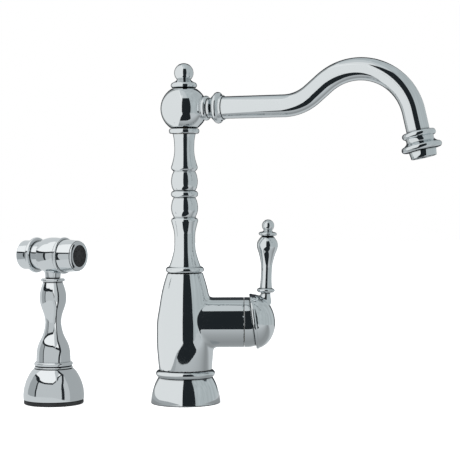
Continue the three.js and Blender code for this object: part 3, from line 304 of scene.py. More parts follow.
# Two pieces hang just in front of the near card, a grey one and a bent black edge. A roof and a table close the set.
OVERLAY_X, EDGE_X = -0.0956, -0.0957
OVERLAY_FOOT, OVERLAY_TOP = 0.085, 0.3
standing_card("spray_near_upper", [(OVERLAY_X, CORNER_Y), (OVERLAY_X, -0.1)], OVERLAY_FOOT, OVERLAY_TOP, FRONT_GREY)
NEAR_EDGE = [(-0.041, 0.0), (-0.053, 0.0), (-0.052, 0.032), (-0.034, 0.055), (-0.032, CARD_TOP), (-0.0215, CARD_TOP),
             (-0.0235, 0.055), (-0.04, 0.032)]
board_of("spray_near_edge", [(EDGE_X, y, z) for y, z in NEAR_EDGE], [tuple(range(len(NEAR_EDGE)))], BLACK,
         one_sided=True)
ROOF = [(-0.43, -0.49), (-0.43, 0.13), (-0.09, 0.13), (-0.07, -0.49)]
board_of("spray_roof", [(x, y, CARD_TOP) for x, y in ROOF], [(0, 1, 2, 3)], WHITE, one_sided=True)
SPRAY_TABLE = [(-0.43, -0.49), (-0.0985, -0.49), (-0.0965, -0.145), (NEAR_X, 0.13), (-0.43, 0.13)]
laid_sheet("spray_table", SPRAY_TABLE, TABLE_LEVEL, LIGHT_GREY)


def softbox(name, place, size, power):
    """A square lamp that points at the middle of the faucet. Metal doesn't show it."""
    data = bpy.data.lights.new(name, "AREA")
    data.shape = "SQUARE"
    data.size = size
    data.energy = power
    lamp = bpy.data.objects.new(name, data)
    scene.collection.objects.link(lamp)
    lamp.location = place
    aim = Vector((0.02, 0, BOARD_MIDDLE)) - lamp.location
    lamp.rotation_euler = aim.to_track_quat("-Z", "Y").to_euler()
    lamp.visible_glossy = False


softbox("key_lamp", (-1.3, -1.2, 1.6), 1.2, 16.0)
softbox("fill_lamp", (1.5, -1.0, 1.2), 1.4, 7.0)


# ---- Foot flange
# The bell-shaped foot that covers the tap hole: a brass casting, turned, polished and chrome plated. It has a round
# bead at its top, where the body stands on it, and a ring groove underneath for its seal.
def spline_values(knots, values, places):
    """Values at the places of the smooth curve (a natural cubic spline) through the knots."""
    gaps = np.diff(knots)
    count = len(knots)
    system, slopes = np.eye(count), np.zeros(count)
    for i in range(1, count - 1):
        system[i, i - 1 : i + 2] = gaps[i - 1], 2 * (gaps[i - 1] + gaps[i]), gaps[i]
        slopes[i] = 6 * ((values[i + 1] - values[i]) / gaps[i] - (values[i] - values[i - 1]) / gaps[i - 1])
    bends = np.linalg.solve(system, slopes)
    i = np.clip(np.searchsorted(knots, places) - 1, 0, count - 2)
    before, after, gap = places - knots[i], knots[i + 1] - places, gaps[i]
    values = np.asarray(values)
    cubic = (bends[i] * after**3 + bends[i + 1] * before**3) / (6 * gap)
    linear = (values[i] / gap - bends[i] * gap / 6) * after + (values[i + 1] / gap - bends[i + 1] * gap / 6) * before
    return cubic + linear


def swell(height, radii, samples=6):
    """A turned stretch whose radii are evenly spaced over its height, as (radius, rise) corners."""
    rises = np.linspace(0, height, samples * (len(radii) - 1) + 1)
    values = spline_values(np.linspace(0, height, len(radii)), radii, rises)
    return height, list(zip(values, rises))


def bead(height, neck, crest, samples=14):
    """A half-round bead between two necks of one radius."""
    turns = [math.pi * i / samples for i in range(samples + 1)]
    return height, [(neck + (crest - neck) * math.sin(t), height * (1 - math.cos(t)) / 2) for t in turns]


def stacked(foot, *stretches):
    """Stretches set on each other from the foot up."""
    corners, level = [], foot
    for height, rises in stretches:
        corners += [(radius, level + rise) for radius, rise in rises]
        level += height
    return corners


def height_of(*stretches):
    return sum(height for height, _ in stretches)


def arc(radius, centre, start, end, samples=24, flatten=1.0):
    """A round arc about a centre on the axis, between two angles above level."""
    angles = angles_between(start, end, samples)
    return [(max(0.0, radius * math.cos(a)), centre + radius * flatten * math.sin(a)) for a in angles]


EASE_STEPS, EASE_SHARE = 4, 0.45
SHARP = math.radians(24)
ON_AXIS, SAME_PLACE = 1e-6, 1e-4


def ends_on_axis(outline):
    return outline[0][0] < ON_AXIS and outline[-1][0] < ON_AXIS


def eased(outline, ease):
    """The outline with a small round of radius ease, at most, at each sharp corner off the axis."""
    closed = not ends_on_axis(outline)
    points = []
    for radius, level in outline:
        point = Vector((radius, level))
        if not points or (point - points[-1]).length > SAME_PLACE:
            points.append(point)
    if closed and (points[0] - points[-1]).length < SAME_PLACE:
        points.pop()
    result = []
    count = len(points)
    for i, point in enumerate(points):
        if not closed and i in (0, count - 1):
            result.append(point)
            continue
        to_last, to_next = points[i - 1] - point, points[(i + 1) % count] - point
        turn = math.pi - to_last.angle(to_next)
        if turn < SHARP or point.x < ON_AXIS:
            result.append(point)
            continue
        reach = min(ease * math.tan(turn / 2), to_last.length * EASE_SHARE, to_next.length * EASE_SHARE)
        start, end = point + to_last.normalized() * reach, point + to_next.normalized() * reach
        for step in range(EASE_STEPS + 1):
            t = step / EASE_STEPS
            result.append((1 - t) ** 2 * start + 2 * t * (1 - t) * point + t * t * end)
    return [(point.x, point.y) for point in result]


def wall_between(shape, lower, upper):
    """Faces between two rings of corners. A ring of one corner is a point on the axis."""
    sides = max(len(lower), len(upper))
    for i in range(sides if sides > 1 else 0):
        j = (i + 1) % sides
        if len(lower) == 1:
            shape.faces.new((lower[0], upper[j], upper[i]))
        elif len(upper) == 1:
            shape.faces.new((lower[i], lower[j], upper[0]))
        else:
            shape.faces.new((lower[i], lower[j], upper[j], upper[i]))


def mesh_from(name, shape):
    mesh = bpy.data.meshes.new(name)
    shape.to_mesh(mesh)
    shape.free()
    return mesh


def turned_mesh(name, outline, sides=128, ease=0.3):
    """A solid of revolution about Z. An outline off the axis closes on itself as a ring."""
    shape = bmesh.new()
    rings = []
    for radius, level in eased(outline, ease):
        if radius < ON_AXIS:
            rings.append([shape.verts.new((0, 0, level * MM))])
            continue
        ring = []
        for i in range(sides):
            angle = 2 * math.pi * i / sides
            ring.append(shape.verts.new((radius * MM * math.cos(angle), radius * MM * math.sin(angle), level * MM)))
        rings.append(ring)
    pairs = list(zip(rings, rings[1:]))
    if not ends_on_axis(outline):
        pairs.append((rings[-1], rings[0]))
    for lower, upper in pairs:
        wall_between(shape, lower, upper)
    bmesh.ops.recalc_face_normals(shape, faces=shape.faces)
    mesh = mesh_from(name, shape)
    mesh.shade_smooth()
    return mesh


def dress(name, mesh, place, node, body, material):
    """Puts a mesh in its place as a piece that stands for a CAD node and moves with its body."""
    mesh.transform(place)
    piece = bpy.data.objects.new(name, mesh)
    scene.collection.objects.link(piece)
    mesh.materials.clear()
    mesh.materials.append(material)
    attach(piece, body)
    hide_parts(node)


def group_with(name, sockets):
    """An empty shader group with the named inputs (name, type, value) and outputs (name, type)."""
    group = bpy.data.node_groups.new(name, "ShaderNodeTree")
    for title, kind, *value in sockets:
        socket = group.interface.new_socket(title, in_out="INPUT" if value else "OUTPUT", socket_type=kind)
        if value:
            socket.default_value = value[0]
    return group, group.nodes.new("NodeGroupInput"), group.nodes.new("NodeGroupOutput")


# Polish: what a buffing wheel and then hands leave on plated metal. A slow waviness of the surface, faint cloudy
# patches where it was wiped, a few small dried water spots, and painted shade that darkens seams and narrow gaps.
polish, polish_in, polish_out = group_with(
    "polish",
    [
        ("Clean Roughness", "NodeSocketFloat", 0.03),
        ("Wiped Roughness", "NodeSocketFloat", 0.07),
        ("Waviness", "NodeSocketFloat", 0.1),
        ("Spots", "NodeSocketFloat", 0.5),
        ("Seam", "NodeSocketFloat"),
        ("Roughness", "NodeSocketFloat"),
        ("Normal", "NodeSocketVector"),
    ],
)
polish_place = new_node(polish, "TexCoord").outputs["Object"]
cloud = new_node(polish, "TexNoise", {"Vector": polish_place, "Scale": 38.0, "Detail": 4.0})
cloud_edge = new_node(polish, "MapRange", {
    "Value": cloud.outputs["Fac"], "From Min": 0.42, "From Max": 0.72,
}, interpolation_type="SMOOTHSTEP")
wiped = new_node(polish, "MapRange", {
    "Value": cloud_edge.outputs["Result"],
    "To Min": polish_in.outputs["Clean Roughness"],
    "To Max": polish_in.outputs["Wiped Roughness"],
})
spot = new_node(polish, "TexVoronoi", {"Vector": polish_place, "Scale": 120.0})
spot_edge = new_node(polish, "MapRange", {
    "Value": spot.outputs["Distance"], "From Min": 0.13, "From Max": 0.07, "To Max": 0.05,
})
spotted = new_node(polish, "Math", {
    0: spot_edge.outputs["Result"], 1: polish_in.outputs["Spots"], 2: wiped.outputs["Result"],
}, operation="MULTIPLY_ADD")
ripple = new_node(polish, "TexNoise", {"Vector": polish_place, "Scale": 60.0, "Detail": 1.0})
ripple_bump = new_node(polish, "Bump", {
    "Height": ripple.outputs["Fac"], "Strength": polish_in.outputs["Waviness"], "Distance": 0.0001,
})
# Painted shade: ambient occlusion within 3 mm marks seams and gaps, where the plate is darkened towards near black.
opening = new_node(polish, "AmbientOcclusion", {"Distance": 0.003}, samples=8)
painted_seam_shade = new_node(polish, "MapRange", {
    "Value": opening.outputs["AO"], "From Min": 0.86, "From Max": 0.48,
}, interpolation_type="SMOOTHSTEP")
feed(polish, polish_out, {
    "Seam": painted_seam_shade.outputs["Result"],
    "Roughness": spotted.outputs[0],
    "Normal": ripple_bump.outputs["Normal"],
})

# The near-black tone of the painted shade in seams and gaps.
SEAM_SHADE_TONE = (0.06, 0.065, 0.07)


def plated(name, tone, clean=0.03, wiped_to=0.07, waviness=0.1, spots=0.5):
    """Polished plate of the given tone, with painted shade that darkens its seams."""
    material, tree, shader = new_finish(name)
    surface = new_node(tree, "Group", {
        "Clean Roughness": clean, "Wiped Roughness": wiped_to, "Waviness": waviness, "Spots": spots,
    }, node_tree=polish)
    # The seam mask mixes painted shade into the plate's tone.
    tint = new_node(tree, "Mix", {
        "Factor": surface.outputs["Seam"], 6: (*tone, 1), 7: (*SEAM_SHADE_TONE, 1),
    }, data_type="RGBA")
    feed(tree, shader, {
        "Base Color": tint.outputs[2],
        "Metallic": 1.0,
        "Roughness": surface.outputs["Roughness"],
        "Normal": surface.outputs["Normal"],
    })
    return material


CHROME_TONE = (0.80, 0.835, 0.85)
turned_chrome = plated("turned_chrome", CHROME_TONE)


def turned_piece(name, outline, place, node, body, material=turned_chrome, sides=128, ease=0.3):
    """A turned piece dressed in its place, in turned chrome unless it is of another material."""
    dress(name, turned_mesh(name, outline, sides, ease), place, node, body, material)


UPRIGHT = Matrix.Identity(4)
FOOT_BORE = 22.0
foot_flare = swell(25.0, [33.0, 32.4, 31.0, 28.9, 25.6])
foot_bead = bead(6.3, 25.4, 28.2)
foot_top = height_of(foot_flare, foot_bead)
GROOVE_INNER, GROOVE_OUTER, GROOVE_HEIGHT = 26.5, 30.5, 2.3
foot_outline = [
    (FOOT_BORE, 0),
    (GROOVE_INNER, 0),
    (GROOVE_INNER, GROOVE_HEIGHT),
    (GROOVE_OUTER, GROOVE_HEIGHT),
    (GROOVE_OUTER, 0),
    (32.6, 0),
    (33.0, 0.7),
    *stacked(0, foot_flare, foot_bead)[1:],
    (FOOT_BORE, foot_top),
]
turned_piece("foot_flange", foot_outline, UPRIGHT, "base_flange", "root")


# ---- Foot gasket
# A moulded black rubber ring, pressed into the groove under the foot. The foot holds it down on the deck, where it
# seals the tap hole and is all but out of sight.
grain, grain_in, grain_out = group_with(
    "rubber_grain",
    [
        ("Grain Size", "NodeSocketFloat", 900.0),
        ("Depth", "NodeSocketFloat", 0.3),
        ("Dark", "NodeSocketColor", (0.012, 0.013, 0.014, 1)),
        ("Dusty", "NodeSocketColor", (0.045, 0.047, 0.05, 1)),
        ("Color", "NodeSocketColor"),
        ("Roughness", "NodeSocketFloat"),
        ("Normal", "NodeSocketVector"),
    ],
)
grain_place = new_node(grain, "TexCoord").outputs["Object"]
fine = new_node(grain, "TexNoise", {"Vector": grain_place, "Scale": grain_in.outputs["Grain Size"], "Detail": 2.0})
dust = new_node(grain, "TexNoise", {"Vector": grain_place, "Scale": 45.0, "Detail": 5.0}).outputs["Fac"]
dust_mask = new_node(grain, "MapRange", {"Value": dust, "From Min": 0.5, "From Max": 0.85})
dust_mix = new_node(grain, "Mix", {
    "Factor": dust_mask.outputs["Result"], 6: grain_in.outputs["Dark"], 7: grain_in.outputs["Dusty"],
}, data_type="RGBA")
dulled = new_node(grain, "MapRange", {"Value": dust, "To Min": 0.5, "To Max": 0.8})
grain_bump = new_node(grain, "Bump", {
    "Height": fine.outputs["Fac"], "Strength": grain_in.outputs["Depth"], "Distance": 0.0001,
})
feed(grain, grain_out, {
    "Color": dust_mix.outputs[2],
    "Roughness": dulled.outputs["Result"],
    "Normal": grain_bump.outputs["Normal"],
})


def moulded(name, dark, dusty, grain_size=900.0, depth=0.3):
    """A moulded rubber or plastic, with a fine grain and a little dust in it."""
    material, tree, shader = new_finish(name)
    surface = new_node(tree, "Group", {
        "Grain Size": grain_size, "Depth": depth, "Dark": (*dark, 1), "Dusty": (*dusty, 1),
    }, node_tree=grain)
    feed(tree, shader, {
        "Base Color": surface.outputs["Color"],
        "Roughness": surface.outputs["Roughness"],
        "Normal": surface.outputs["Normal"],
    })
    return material


black_rubber = moulded("black_rubber", (0.012, 0.013, 0.014), (0.045, 0.047, 0.05))


def ring_outline(inner, outer, foot, top):
    return [(inner, foot), (outer, foot), (outer, top), (inner, top)]


turned_piece("foot_gasket", ring_outline(26.8, 30.2, 0, 2.0), UPRIGHT, "base_gasket", "root", black_rubber)


# ---- Body casting
# One brass casting: a barrel that swells and then narrows to the column, and a round side arm that holds the mixing
# cartridge. The arm runs into the barrel with a small hand-polished fillet. Both are plated together.
def outline_distance(corners, radius, level):
    """Signed distance from points (radius, level) to a closed outline: negative inside."""
    corners = np.asarray(corners, dtype=float)
    nearest = np.full(radius.shape, 1e9)
    inside = np.zeros(radius.shape, dtype=bool)
    for (ax, az), (bx, bz) in zip(corners, np.roll(corners, -1, axis=0)):
        ex, ez = bx - ax, bz - az
        length = ex * ex + ez * ez
        if length < 1e-12:
            continue
        wx, wz = radius - ax, level - az
        t = np.clip((wx * ex + wz * ez) / length, 0, 1)
        nearest = np.minimum(nearest, (wx - ex * t) ** 2 + (wz - ez * t) ** 2)
        crossing = (az > level) != (bz > level)
        if ez != 0:
            inside ^= crossing & (wx < ex * wz / ez)
    return np.where(inside, -1, 1) * np.sqrt(nearest)


def mirrored(outline):
    """The outline and its mirror image across the axis, so that the axis is no edge of the solid."""
    return list(outline) + [(-radius, level) for radius, level in reversed(outline)]


class Turning:
    """A turned solid in its place, as a distance that can be joined to others or cut from them."""

    REACH = 0.05

    def __init__(self, outline, place=UPRIGHT, ease=0.3):
        corners = eased(outline, ease)
        self.corners = mirrored(corners) if ends_on_axis(outline) else corners
        local = place.inverted()
        self.turn = np.array([[local[i][j] for j in range(3)] for i in range(3)])
        self.shift = np.array([local[i][3] / MM for i in range(3)])

    def distance(self, points):
        local = points @ self.turn.T + self.shift
        return outline_distance(self.corners, np.hypot(local[:, 0], local[:, 1]), local[:, 2])

    def lean(self, points):
        """The way out of the solid at the points, as unit vectors."""
        local = points @ self.turn.T + self.shift
        radius, level = np.hypot(local[:, 0], local[:, 1]), local[:, 2]
        out = outline_distance(self.corners, radius + self.REACH, level)
        out -= outline_distance(self.corners, radius - self.REACH, level)
        rise = outline_distance(self.corners, radius, level + self.REACH)
        rise -= outline_distance(self.corners, radius, level - self.REACH)
        out /= np.maximum(radius, 1e-6)
        steep = np.stack([out * local[:, 0], out * local[:, 1], rise], axis=1) @ self.turn
        return steep / np.maximum(np.linalg.norm(steep, axis=1), 1e-9)[:, None]


def casting_distance(points, joined, cuts, fillet):
    """Two joined solids with a rolled fillet between them, narrow where they meet at a flat angle, less the cuts."""
    one, other = (solid.distance(points) for solid in joined)
    total = np.minimum(one, other)
    near = (np.abs(one - other) < fillet * 1.5) & (total < fillet * 1.5) & (total > -fillet)
    turn = 1 - (joined[0].lean(points[near]) * joined[1].lean(points[near])).sum(axis=1)
    reach = np.maximum(fillet * turn, 1e-6)
    part = np.maximum(reach - np.abs(one[near] - other[near]), 0) / reach
    total[near] -= part**3 * reach / 6
    for cut in cuts:
        total = np.maximum(total, -cut.distance(points))
    return total


def net_over(values, low, cell):
    """Points and quads of the surface where gridded distances change sign."""
    inside = values < 0
    shape = np.array(values.shape) - 1
    total, weight = np.zeros((*shape, 3)), np.zeros(tuple(shape))
    corner = [(i, j, k) for i in (0, 1) for j in (0, 1) for k in (0, 1)]
    window = lambda c: tuple(slice(c[a], c[a] + shape[a]) for a in range(3))
    for start in corner:
        for axis in range(3):
            if start[axis]:
                continue
            end = tuple(c + (a == axis) for a, c in enumerate(start))
            here, there = values[window(start)], values[window(end)]
            crossed = inside[window(start)] != inside[window(end)]
            part = np.where(crossed, here / np.where(crossed, here - there, 1), 0)
            for a in range(3):
                total[..., a] += crossed * (start[a] + (part if a == axis else 0))
            weight += crossed
    used = weight > 0
    index = np.full(tuple(shape), -1)
    index[used] = np.arange(used.sum())
    cells = np.argwhere(used)
    points = low + cell * (cells + total[used] / weight[used][:, None])
    quads = []
    for axis in range(3):
        u, v = (axis + 1) % 3, (axis + 2) % 3
        lower, upper = [slice(None)] * 3, [slice(None)] * 3
        lower[axis], upper[axis] = slice(0, -1), slice(1, None)
        before, after = inside[tuple(lower)], inside[tuple(upper)]
        for rising in (True, False):
            edges = np.argwhere((before & ~after) if rising else (~before & after))
            edges = edges[(edges[:, u] > 0) & (edges[:, v] > 0)]
            ring = []
            for du, dv in ((-1, -1), (0, -1), (0, 0), (-1, 0)):
                at = edges.copy()
                at[:, u] += du
                at[:, v] += dv
                ring.append(index[at[:, 0], at[:, 1], at[:, 2]])
            if not rising:
                ring.reverse()
            quads.append(np.stack(ring, axis=1))
    return points, np.concatenate(quads)


SLOPE_REACH = 0.35
SETTLE_ROUNDS = 3


def cast_mesh(name, joined, cuts, fillet, low, high, cell):
    """A mesh of joined and cut turnings, its corners moved onto the true surface and shaded by its true slope."""
    axes = [np.arange(low[a], high[a] + cell, cell) for a in range(3)]
    grid = np.stack(np.meshgrid(*axes, indexing="ij"), axis=-1)
    values = casting_distance(grid.reshape(-1, 3), joined, cuts, fillet).reshape(grid.shape[:3])
    points, quads = net_over(values, np.array(low), cell)

    def slope(at):
        steps = []
        for axis in range(3):
            step = np.zeros(3)
            step[axis] = SLOPE_REACH
            ahead = casting_distance(at + step, joined, cuts, fillet)
            steps.append(ahead - casting_distance(at - step, joined, cuts, fillet))
        steep = np.stack(steps, axis=1)
        return steep / np.maximum(np.linalg.norm(steep, axis=1), 1e-9)[:, None]

    for _ in range(SETTLE_ROUNDS):
        points = points - slope(points) * casting_distance(points, joined, cuts, fillet)[:, None]
    mesh = bpy.data.meshes.new(name)
    mesh.from_pydata((points * MM).tolist(), [], quads.tolist())
    mesh.shade_smooth()
    mesh.normals_split_custom_set_from_vertices(slope(points).tolist())
    return mesh


ARM_HEIGHT, ARM_RADIUS, ARM_END = 76.5, 23.8, 55.9
SEAT_GAP, BODY_UNDERSIDE = 0.3, 0.05
ALONG_X = Matrix.Rotation(math.pi / 2, 4, "Y")
body_foot = foot_top + SEAT_GAP
body_swell = swell(92.2, [25.2, 26.15, 27.0, 27.1, 26.75, 24.9, 23.0, 20.45, 16.9], samples=5)
body_top = body_foot + height_of(body_swell)
barrel = Turning([
    (0, BODY_UNDERSIDE),
    (FOOT_BORE - SEAT_GAP, BODY_UNDERSIDE),
    (FOOT_BORE - SEAT_GAP, body_foot),
    *stacked(body_foot, body_swell),
    (0, body_top),
])
arm_place = Matrix.Translation((0, 0, ARM_HEIGHT * MM)) @ ALONG_X
arm = Turning([(0, 0), (ARM_RADIUS, 0), (ARM_RADIUS, ARM_END), (0, ARM_END)], arm_place)
ARM_CAVITY_RADIUS, ARM_CAVITY_FLOOR = 18.3, 24.0
SPIGOT_RADIUS, SPIGOT_LENGTH = 10.0, 14.2
HOSE_HOLE, HOSE_HOLE_TOP, HOSE_HOLE_Y = 5.0, 15.0, 9.5
STUD_HOLE, STUD_HOLE_TOP, STUD_HOLE_X = 4.0, 14.0, 12.2
RUN_OUT = 2.0


def drilled(radius, foot, top, place):
    return Turning([(0, foot), (radius, foot), (radius, top), (0, top)], place, ease=0)


def beside(x, y):
    return Matrix.Translation((x * MM, y * MM, 0))


body_cuts = [
    drilled(ARM_CAVITY_RADIUS, ARM_CAVITY_FLOOR, ARM_END + RUN_OUT, arm_place),
    drilled(SPIGOT_RADIUS + SEAT_GAP, body_top - SPIGOT_LENGTH, body_top + RUN_OUT, UPRIGHT),
    *[drilled(HOSE_HOLE, -RUN_OUT, HOSE_HOLE_TOP, beside(0, y)) for y in (HOSE_HOLE_Y, -HOSE_HOLE_Y)],
    *[drilled(STUD_HOLE, -RUN_OUT, STUD_HOLE_TOP, beside(x, 0)) for x in (STUD_HOLE_X, -STUD_HOLE_X)],
]
BODY_FILLET, BODY_CELL = 6.0, 1.25
body_mesh = cast_mesh("body_casting", [barrel, arm], body_cuts, BODY_FILLET, (-29, -29, -1), (58, 29, 126), BODY_CELL)
cast_chrome = plated("cast_chrome", CHROME_TONE, waviness=0.16)
dress("body_casting", body_mesh, UPRIGHT, "faucet_body", "root", cast_chrome)


# ---- Column
# Turned from brass bar, polished, plated and set in the body: a bead at its foot, a long taper, then two bulbs with a
# bead between them and a slim waist below the swivel.
column_foot = body_top + SEAT_GAP
column_stretches = [
    bead(5.6, 15.4, 18.1),
    swell(42.3, [15.1, 13.1, 11.5, 10.3, 9.9, 9.75, 10.0, 11.0, 12.4]),
    swell(4.6, [12.4, 12.75, 12.2, 10.3]),
    swell(19.0, [10.3, 11.7, 12.55, 12.75, 12.4, 11.65, 10.3]),
    bead(6.1, 10.3, 12.8),
    swell(18.5, [10.3, 11.75, 12.4, 12.65, 12.3, 11.65, 10.3]),
    swell(5.7, [10.3, 12.1, 12.65, 12.1]),
    swell(29.8, [12.1, 10.7, 9.75, 9.35, 9.5, 9.85, 10.9]),
]
column_top = column_foot + height_of(*column_stretches)
COLUMN_BORE = 4.6
POST_SOCKET, POST_SOCKET_DEPTH = 6.9, 13.3
column_outline = [
    (COLUMN_BORE, column_foot - SPIGOT_LENGTH),
    (SPIGOT_RADIUS, column_foot - SPIGOT_LENGTH),
    (SPIGOT_RADIUS, column_foot),
    *stacked(column_foot, *column_stretches),
    (POST_SOCKET, column_top),
    (POST_SOCKET, column_top - POST_SOCKET_DEPTH),
    (COLUMN_BORE, column_top - POST_SOCKET_DEPTH),
]
turned_piece("turned_column", column_outline, UPRIGHT, "column", "root")


# ---- Swivel collar
# The ring under the ball, turned from brass, polished and plated. It is clamped on the swivel post and takes the
# ball's thrust washer.
collar_foot = column_top + SEAT_GAP
collar_bead = bead(4.7, 13.0, 14.4)
collar_top = collar_foot + height_of(collar_bead)
POST_HOLE = 8.3
collar_outline = [(POST_HOLE, collar_foot), *stacked(collar_foot, collar_bead), (POST_HOLE, collar_top)]
turned_piece("swivel_ring", collar_outline, UPRIGHT, "swivel_collar", "root")


# ---- Ball and socket ring
# A hollow brass ball, cut flat above and below, with a stub and a ring on its side where the spout screws in. It
# turns on the post with the spout. The stub is cast on, so a small fillet joins them.
SPOUT_YAW, SPOUT_RISE = 20.0, 0.35
BALL_RADIUS, BALL_LOWER_CUT, BALL_UPPER_CUT = 22.3, 18.4, 18.9
ball_foot = collar_top + 0.4
ball_centre = ball_foot + BALL_LOWER_CUT
ball_top = ball_centre + BALL_UPPER_CUT
spout_frame = Matrix.Rotation(-math.radians(SPOUT_YAW), 4, "Z")
spout_root = (
    spout_frame
    @ Matrix.Translation((0, 0, ball_centre * MM))
    @ Matrix.Rotation(math.radians(90 - SPOUT_RISE), 4, "Y")
)
ball_low = -math.degrees(math.asin(BALL_LOWER_CUT / BALL_RADIUS))
ball_high = math.degrees(math.asin(BALL_UPPER_CUT / BALL_RADIUS))
ball_solid = Turning([(0, ball_foot), *arc(BALL_RADIUS, ball_centre, ball_low, ball_high, 40), (0, ball_top)])
SOCKET_ROOT, SOCKET_START, SOCKET_END, SOCKET_RADIUS = 12.0, 19.9, 24.9, 9.8
socket_bead = bead(SOCKET_END - SOCKET_START, SOCKET_RADIUS, 11.7)
socket = Turning([
    (0, SOCKET_ROOT),
    (SOCKET_RADIUS, SOCKET_ROOT),
    (SOCKET_RADIUS, SOCKET_START),
    *stacked(SOCKET_START, socket_bead),
    (0, SOCKET_END),
], spout_root)
SEAL_POCKET, SEAL_POCKET_TOP = 11.3, collar_top + 1.6
CROWN_POCKET, CROWN_POCKET_DEPTH = 9.8, 10.7
SPOUT_HOLE, SPOUT_HOLE_START = 7.0, 8.0
ball_cuts = [
    drilled(POST_HOLE, ball_foot - RUN_OUT, ball_top, UPRIGHT),
    drilled(SEAL_POCKET, ball_foot - RUN_OUT, SEAL_POCKET_TOP, UPRIGHT),
    drilled(CROWN_POCKET, ball_top - CROWN_POCKET_DEPTH, ball_top + RUN_OUT, UPRIGHT),
    drilled(SPOUT_HOLE, SPOUT_HOLE_START, SOCKET_END + RUN_OUT, spout_root),
]
BALL_FILLET, BALL_CELL = 1.6, 0.7
ball_mesh = cast_mesh("ball_casting", [ball_solid, socket], ball_cuts, BALL_FILLET,
                      (-23.5, -23.5, ball_foot - 1.2), (SOCKET_END + RUN_OUT, 23.5, ball_top + 1.2), BALL_CELL)
dress("ball_casting", ball_mesh, UPRIGHT, "spout_ball", "spout", cast_chrome)


# ---- Finial
# A turned knob on the ball: a flat bun, a narrow neck and a small ball. Its skirt screws into the ball and hides the
# screw that holds the swivel together.
finial_foot = ball_top + SEAT_GAP
FINIAL_NECK, FINIAL_BALL = 6.6, 9.15
finial_bun = swell(5.2, [10.7, 12.15, 12.35, 11.3])
finial_hollow = swell(3.2, [11.3, 8.1, FINIAL_NECK])
finial_neck_level = finial_foot + height_of(finial_bun, finial_hollow)
finial_centre = finial_neck_level + math.sqrt(FINIAL_BALL**2 - FINIAL_NECK**2)
SKIRT_BORE, SKIRT_RADIUS, SKIRT_LENGTH, SCREW_ROOM = 7.3, 9.5, 7.8, 1.5
finial_outline = [
    (0, finial_foot + SCREW_ROOM),
    (SKIRT_BORE, finial_foot + SCREW_ROOM),
    (SKIRT_BORE, finial_foot - SKIRT_LENGTH),
    (SKIRT_RADIUS, finial_foot - SKIRT_LENGTH),
    (SKIRT_RADIUS, finial_foot),
    *stacked(finial_foot, finial_bun, finial_hollow),
    *arc(FINIAL_BALL, finial_centre, -math.degrees(math.acos(FINIAL_NECK / FINIAL_BALL)), 90, 40),
]
turned_piece("finial_knob", finial_outline, UPRIGHT, "finial", "spout", sides=96)


# ---- Spout collar
# A turned brass nut that flares from a narrow neck to a rounded rim. It screws into the ball, and the tube is brazed
# into its other end.
neck_start = SOCKET_END + SEAT_GAP
socket_floor = neck_start + 7.8
NECK_RIM, NECK_LIP, NECK_BORE, NECK_THREAD, NECK_ROOT = 12.9, 11.7, 4.8, 6.7, 13.0
collar_flare = swell(7.0, [9.2, 9.5, 11.2, 13.5])
collar_rim = bead(4.8, NECK_RIM, 14.8)
collar_lip = swell(1.0, [NECK_RIM, NECK_LIP], samples=3)
neck_end = neck_start + 15.0
TUBE_RADIUS, TUBE_BORE = 10.5, 9.0
neck_outline = [
    (NECK_BORE, NECK_ROOT),
    (NECK_THREAD, NECK_ROOT),
    (NECK_THREAD, neck_start),
    *stacked(neck_start, collar_flare, collar_rim, collar_lip),
    (NECK_LIP, neck_end),
    (TUBE_RADIUS + SEAT_GAP, neck_end),
    (TUBE_RADIUS + SEAT_GAP, socket_floor),
    (TUBE_BORE, socket_floor),
    (NECK_BORE, neck_start + 1),
]
turned_piece("neck_collar", neck_outline, spout_root, "spout_collar", "spout")


# ---- Swan neck tube
# Seamless brass tube, 21 mm outside, drawn to one line: level, up, over the crown and down. Bent on a mandrel, then
# polished and plated. Its wall shows nowhere, because both its ends are brazed in.
TUBE_STEPS, TUBE_SIDES = 220, 96
tube_start = socket_floor + SEAT_GAP
# Each stretch of the line is a straight run and no turn, or the radius of a bend and its turn in degrees.
TUBE_LINE = [(65.9, 0.0), (43.7, 40 - SPOUT_RISE), (15.0, 0.0), (51.5, -117.0), (24.0, 0.0)]


def tube_stations(steps):
    """Points along the tube's line in the spout's plane, each with its slope."""
    rise = math.radians(SPOUT_RISE)
    x, z, slope = tube_start * math.cos(rise), ball_centre + tube_start * math.sin(rise), rise
    lengths = [run * math.radians(abs(turn)) if turn else run for run, turn in TUBE_LINE]
    spacing = sum(lengths) / steps
    stations = [(x, z, slope)]
    for (run, turn), length in zip(TUBE_LINE, lengths):
        parts = max(2, round(length / spacing))
        for _ in range(parts):
            if turn:
                bend = math.radians(turn) / parts
                radius = math.copysign(run, turn)
                x += radius * (math.sin(slope + bend) - math.sin(slope))
                z += radius * (math.cos(slope) - math.cos(slope + bend))
                slope += bend
            else:
                x += length / parts * math.cos(slope)
                z += length / parts * math.sin(slope)
            stations.append((x, z, slope))
    return stations


def tube_mesh(name, stations, outer, inner):
    """A tube's outer and inner skin along its stations, closed by a flat rim at each end."""
    shape = bmesh.new()
    skins = []
    for radius in (outer, inner):
        rings = []
        for x, z, slope in stations:
            ring = []
            for i in range(TUBE_SIDES):
                angle = 2 * math.pi * i / TUBE_SIDES
                up = radius * math.cos(angle)
                corner = Vector((x - up * math.sin(slope), radius * math.sin(angle), z + up * math.cos(slope)))
                ring.append(shape.verts.new(corner * MM))
            rings.append(ring)
        skins.append(rings)
    outside, bore = skins
    walls = list(zip(outside, outside[1:])) + list(zip(bore, bore[1:]))
    walls += [(outside[0], bore[0]), (outside[-1], bore[-1])]
    for one, other in walls:
        wall_between(shape, one, other)
    bmesh.ops.recalc_face_normals(shape, faces=shape.faces)
    for edge in shape.edges:
        edge.smooth = edge.calc_face_angle(0) < SHARP
    mesh = mesh_from(name, shape)
    mesh.shade_smooth()
    return mesh


